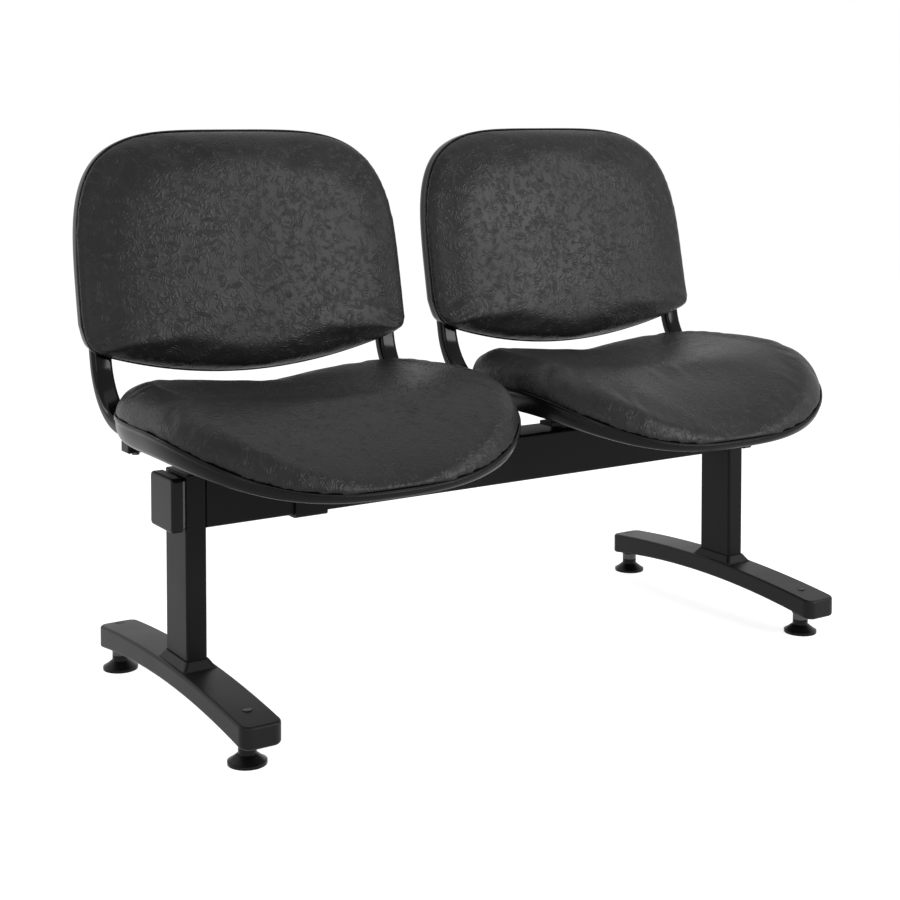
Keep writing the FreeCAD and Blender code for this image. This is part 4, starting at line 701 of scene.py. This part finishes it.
def steel(place):
    """Blackened steel, turned: fine rings of tone and brighter edges."""
    soft, edge = edge_wear_and_highlight(place, 0.0006)
    streak = place.noise(500.0, 3.0)
    colour = streak.between(0.3, 0.7).mixed(grey(0.05), grey(0.09))
    colour = (edge * 0.5).mixed(colour, grey(0.35))
    return {"Base Color": colour, "Roughness": streak.between(0.3, 0.7, 0.28, 0.42),
            "Normal": streak.bump(0.15, 0.0001, soft)}


# One finish for each material slot of the solids
finishes = {
    "frame_coat": finish("powder_coat", coated(0.0055, 0.03, 0.40, 0.35, 700.0), Specular_IOR_Level=0.10),
    "foot_casting": finish("cast_powder_coat", coated(0.0085, 0.04, 0.40, 0.5, 520.0),
                           Specular_IOR_Level=0.14),
    "tube_gloss": finish("gloss_enamel", coated(0.003, 0.02, 0.13, 0.08, 300.0), Specular_IOR_Level=0.12),
    "trim_plastic": finish("trim_plastic", moulded(0.006, 0.38), Specular_IOR_Level=0.14),
    "glide_plastic": finish("glide_plastic", moulded(0.005, 0.32), Specular_IOR_Level=0.14),
    "shell_plastic": finish("shell_plastic", moulded(0.005, 0.24), Specular_IOR_Level=0.12),
    "vinyl": finish("black_vinyl", vinyl, Specular_IOR_Level=0.2),
    "board": finish("beech_plywood", plywood, Specular_IOR_Level=0.3),
    "fastener": finish("blackened_steel", steel, Metallic=1.0),
}
slots = {part["node"]: part["material_slot"] for part in frame["record"]["subparts"]}
for node, piece in frame["nodes"].items():
    piece.data.materials.clear()
    piece.data.materials.append(finishes[slots[node]])


def dressed(piece, slot, node):
    """The piece gets its finish, rides on the bench and stands for its CAD node."""
    piece.data.materials.clear()
    piece.data.materials.append(finishes[slot])
    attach(piece, "bench")
    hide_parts(node)


# Upholstery

pads = {"seat": stuffed("seat_form", ringed("seat_form", seat_pad()), seat_held, on_rim),
        "back": stuffed("back_form", ringed("back_form", back_pad()), back_held, on_back_rim)}
for kind, form in pads.items():
    for side, sign in SIDES.items():
        name = f"{kind}_cushion_{side}"
        cushion = linked(f"{kind}_pad_{side}", shifted(form.data, name, sign * PITCH / 2))
        smooth = cushion.modifiers.new("smooth", "SUBSURF")
        smooth.levels = smooth.render_levels = 1
        dressed(cushion, "vinyl", name)
    bpy.data.objects.remove(form)

# Covers under the seats and behind the backs, with room for the tubes that pass through them

dishes = {"seat": shell("seat_dish", seat_dish(), (0, 0, -1)),
          "back": shell("back_dish", back_dish(), (0, 1, 0))}
for kind, form in dishes.items():
    for sign in SIDES.values():
        cut_out(form, linked("cutter", tube("cutter", sign * TUBE_OUT, TUBE_ROOM)))
    for side, sign in SIDES.items():
        name = f"{kind}_shell_{side}"
        cover = linked(f"{kind}_cover_{side}", shifted(form.data, name, sign * PITCH / 2))
        dressed(creased(cover, COVER_CREASE), "shell_plastic", name)
    bpy.data.objects.remove(form)

for side, sign in SIDES.items():
    for tube_side, way in SIDES.items():
        name = f"side_tube_{side}_{tube_side}"
        form = tube(name, way * TUBE_OUT)
        bar = linked(f"side_bar_{side}_{tube_side}", shifted(form, name, sign * PITCH / 2))
        dressed(creased(bar, TUBE_CREASE), "tube_gloss", name)


# Floor, backdrop and light

def seen_rays(tree):
    """1 for rays from the camera and for those that a reflection or clear part sends on."""
    ray = tree.nodes.new("ShaderNodeLightPath")
    eye, glossy, clear = (Socket(tree, ray.outputs[f"Is {kind} Ray"])
                          for kind in ("Camera", "Glossy", "Transmission"))
    return eye.sum("MAXIMUM", eye, glossy.sum("MAXIMUM", glossy, clear))


def pale_floor(place):
    """Pale matt floor that looks white to the eye and in reflections, except in the shadow."""
    seen = seen_rays(place.tree)
    tone = place.noise(3.0, 2.0).between(0.0, 1.0).mixed(grey(0.79, 1.0), grey(0.81, 1.0))
    return {"Base Color": tone, "Emission Color": seen.mixed((0, 0, 0, 1), (0.78, 0.78, 0.78, 1))}


FLOOR_REACH = 14.0
corners = [(-FLOOR_REACH, -FLOOR_REACH, 0), (FLOOR_REACH, -FLOOR_REACH, 0),
           (FLOOR_REACH, FLOOR_REACH, 0), (-FLOOR_REACH, FLOOR_REACH, 0)]
floor_mesh = bpy.data.meshes.new("floor")
floor_mesh.from_pydata(corners, [], [(0, 1, 2, 3)])
floor = linked("floor", floor_mesh, False)
floor.data.materials.append(finish("pale_floor", pale_floor, Roughness=0.9, Specular_IOR_Level=0.0,
                                   Emission_Strength=1.0))

# The room's soft light on the object; the eye and reflections see it as white
ROOM_LIGHT = 0.28

world = bpy.data.worlds.new("white_room")
scene.world = world
world.use_nodes = True
sky = world.node_tree
background = sky.nodes["Background"]
sky.links.new(seen_rays(sky).between(0.0, 1.0, ROOM_LIGHT, 1.0).out, background.inputs["Strength"])
background.inputs["Color"].default_value = (1, 1, 1, 1)


def lamp(name, place, target, wide, tall, power):
    """A soft rectangular light that points at its target; places and sizes in metres, power in watts."""
    data = bpy.data.lights.new(name, "AREA")
    data.shape, data.size, data.size_y, data.energy = "RECTANGLE", wide, tall, power
    light = bpy.data.objects.new(name, data)
    scene.collection.objects.link(light)
    x, y, z = np.array(target) - np.array(place)
    light.location = place
    light.rotation_euler = (math.atan2(math.hypot(x, y), -z), 0, math.atan2(y, x) - math.pi / 2)


lamp("front_right_sheet", (1.7, -2.6, 1.6), (0.0, 0.0, 0.55), 1.7, 1.0, 66)
lamp("front_left_sheet", (-2.2, -2.6, 1.5), (-0.2, 0.0, 0.45), 1.2, 1.2, 16)
lamp("left_sheet", (-3.2, -0.5, 1.3), (-0.4, 0.0, 0.4), 1.4, 1.6, 6)
lamp("overhead", (0.3, 0.2, 3.2), (0.2, 0.0, 0.4), 2.6, 1.6, 12)
lamp("rear_strip", (-2.4, 1.7, 1.5), (0.0, 0.1, 0.5), 0.4, 1.8, 16)

scene.view_settings.view_transform = "Standard"
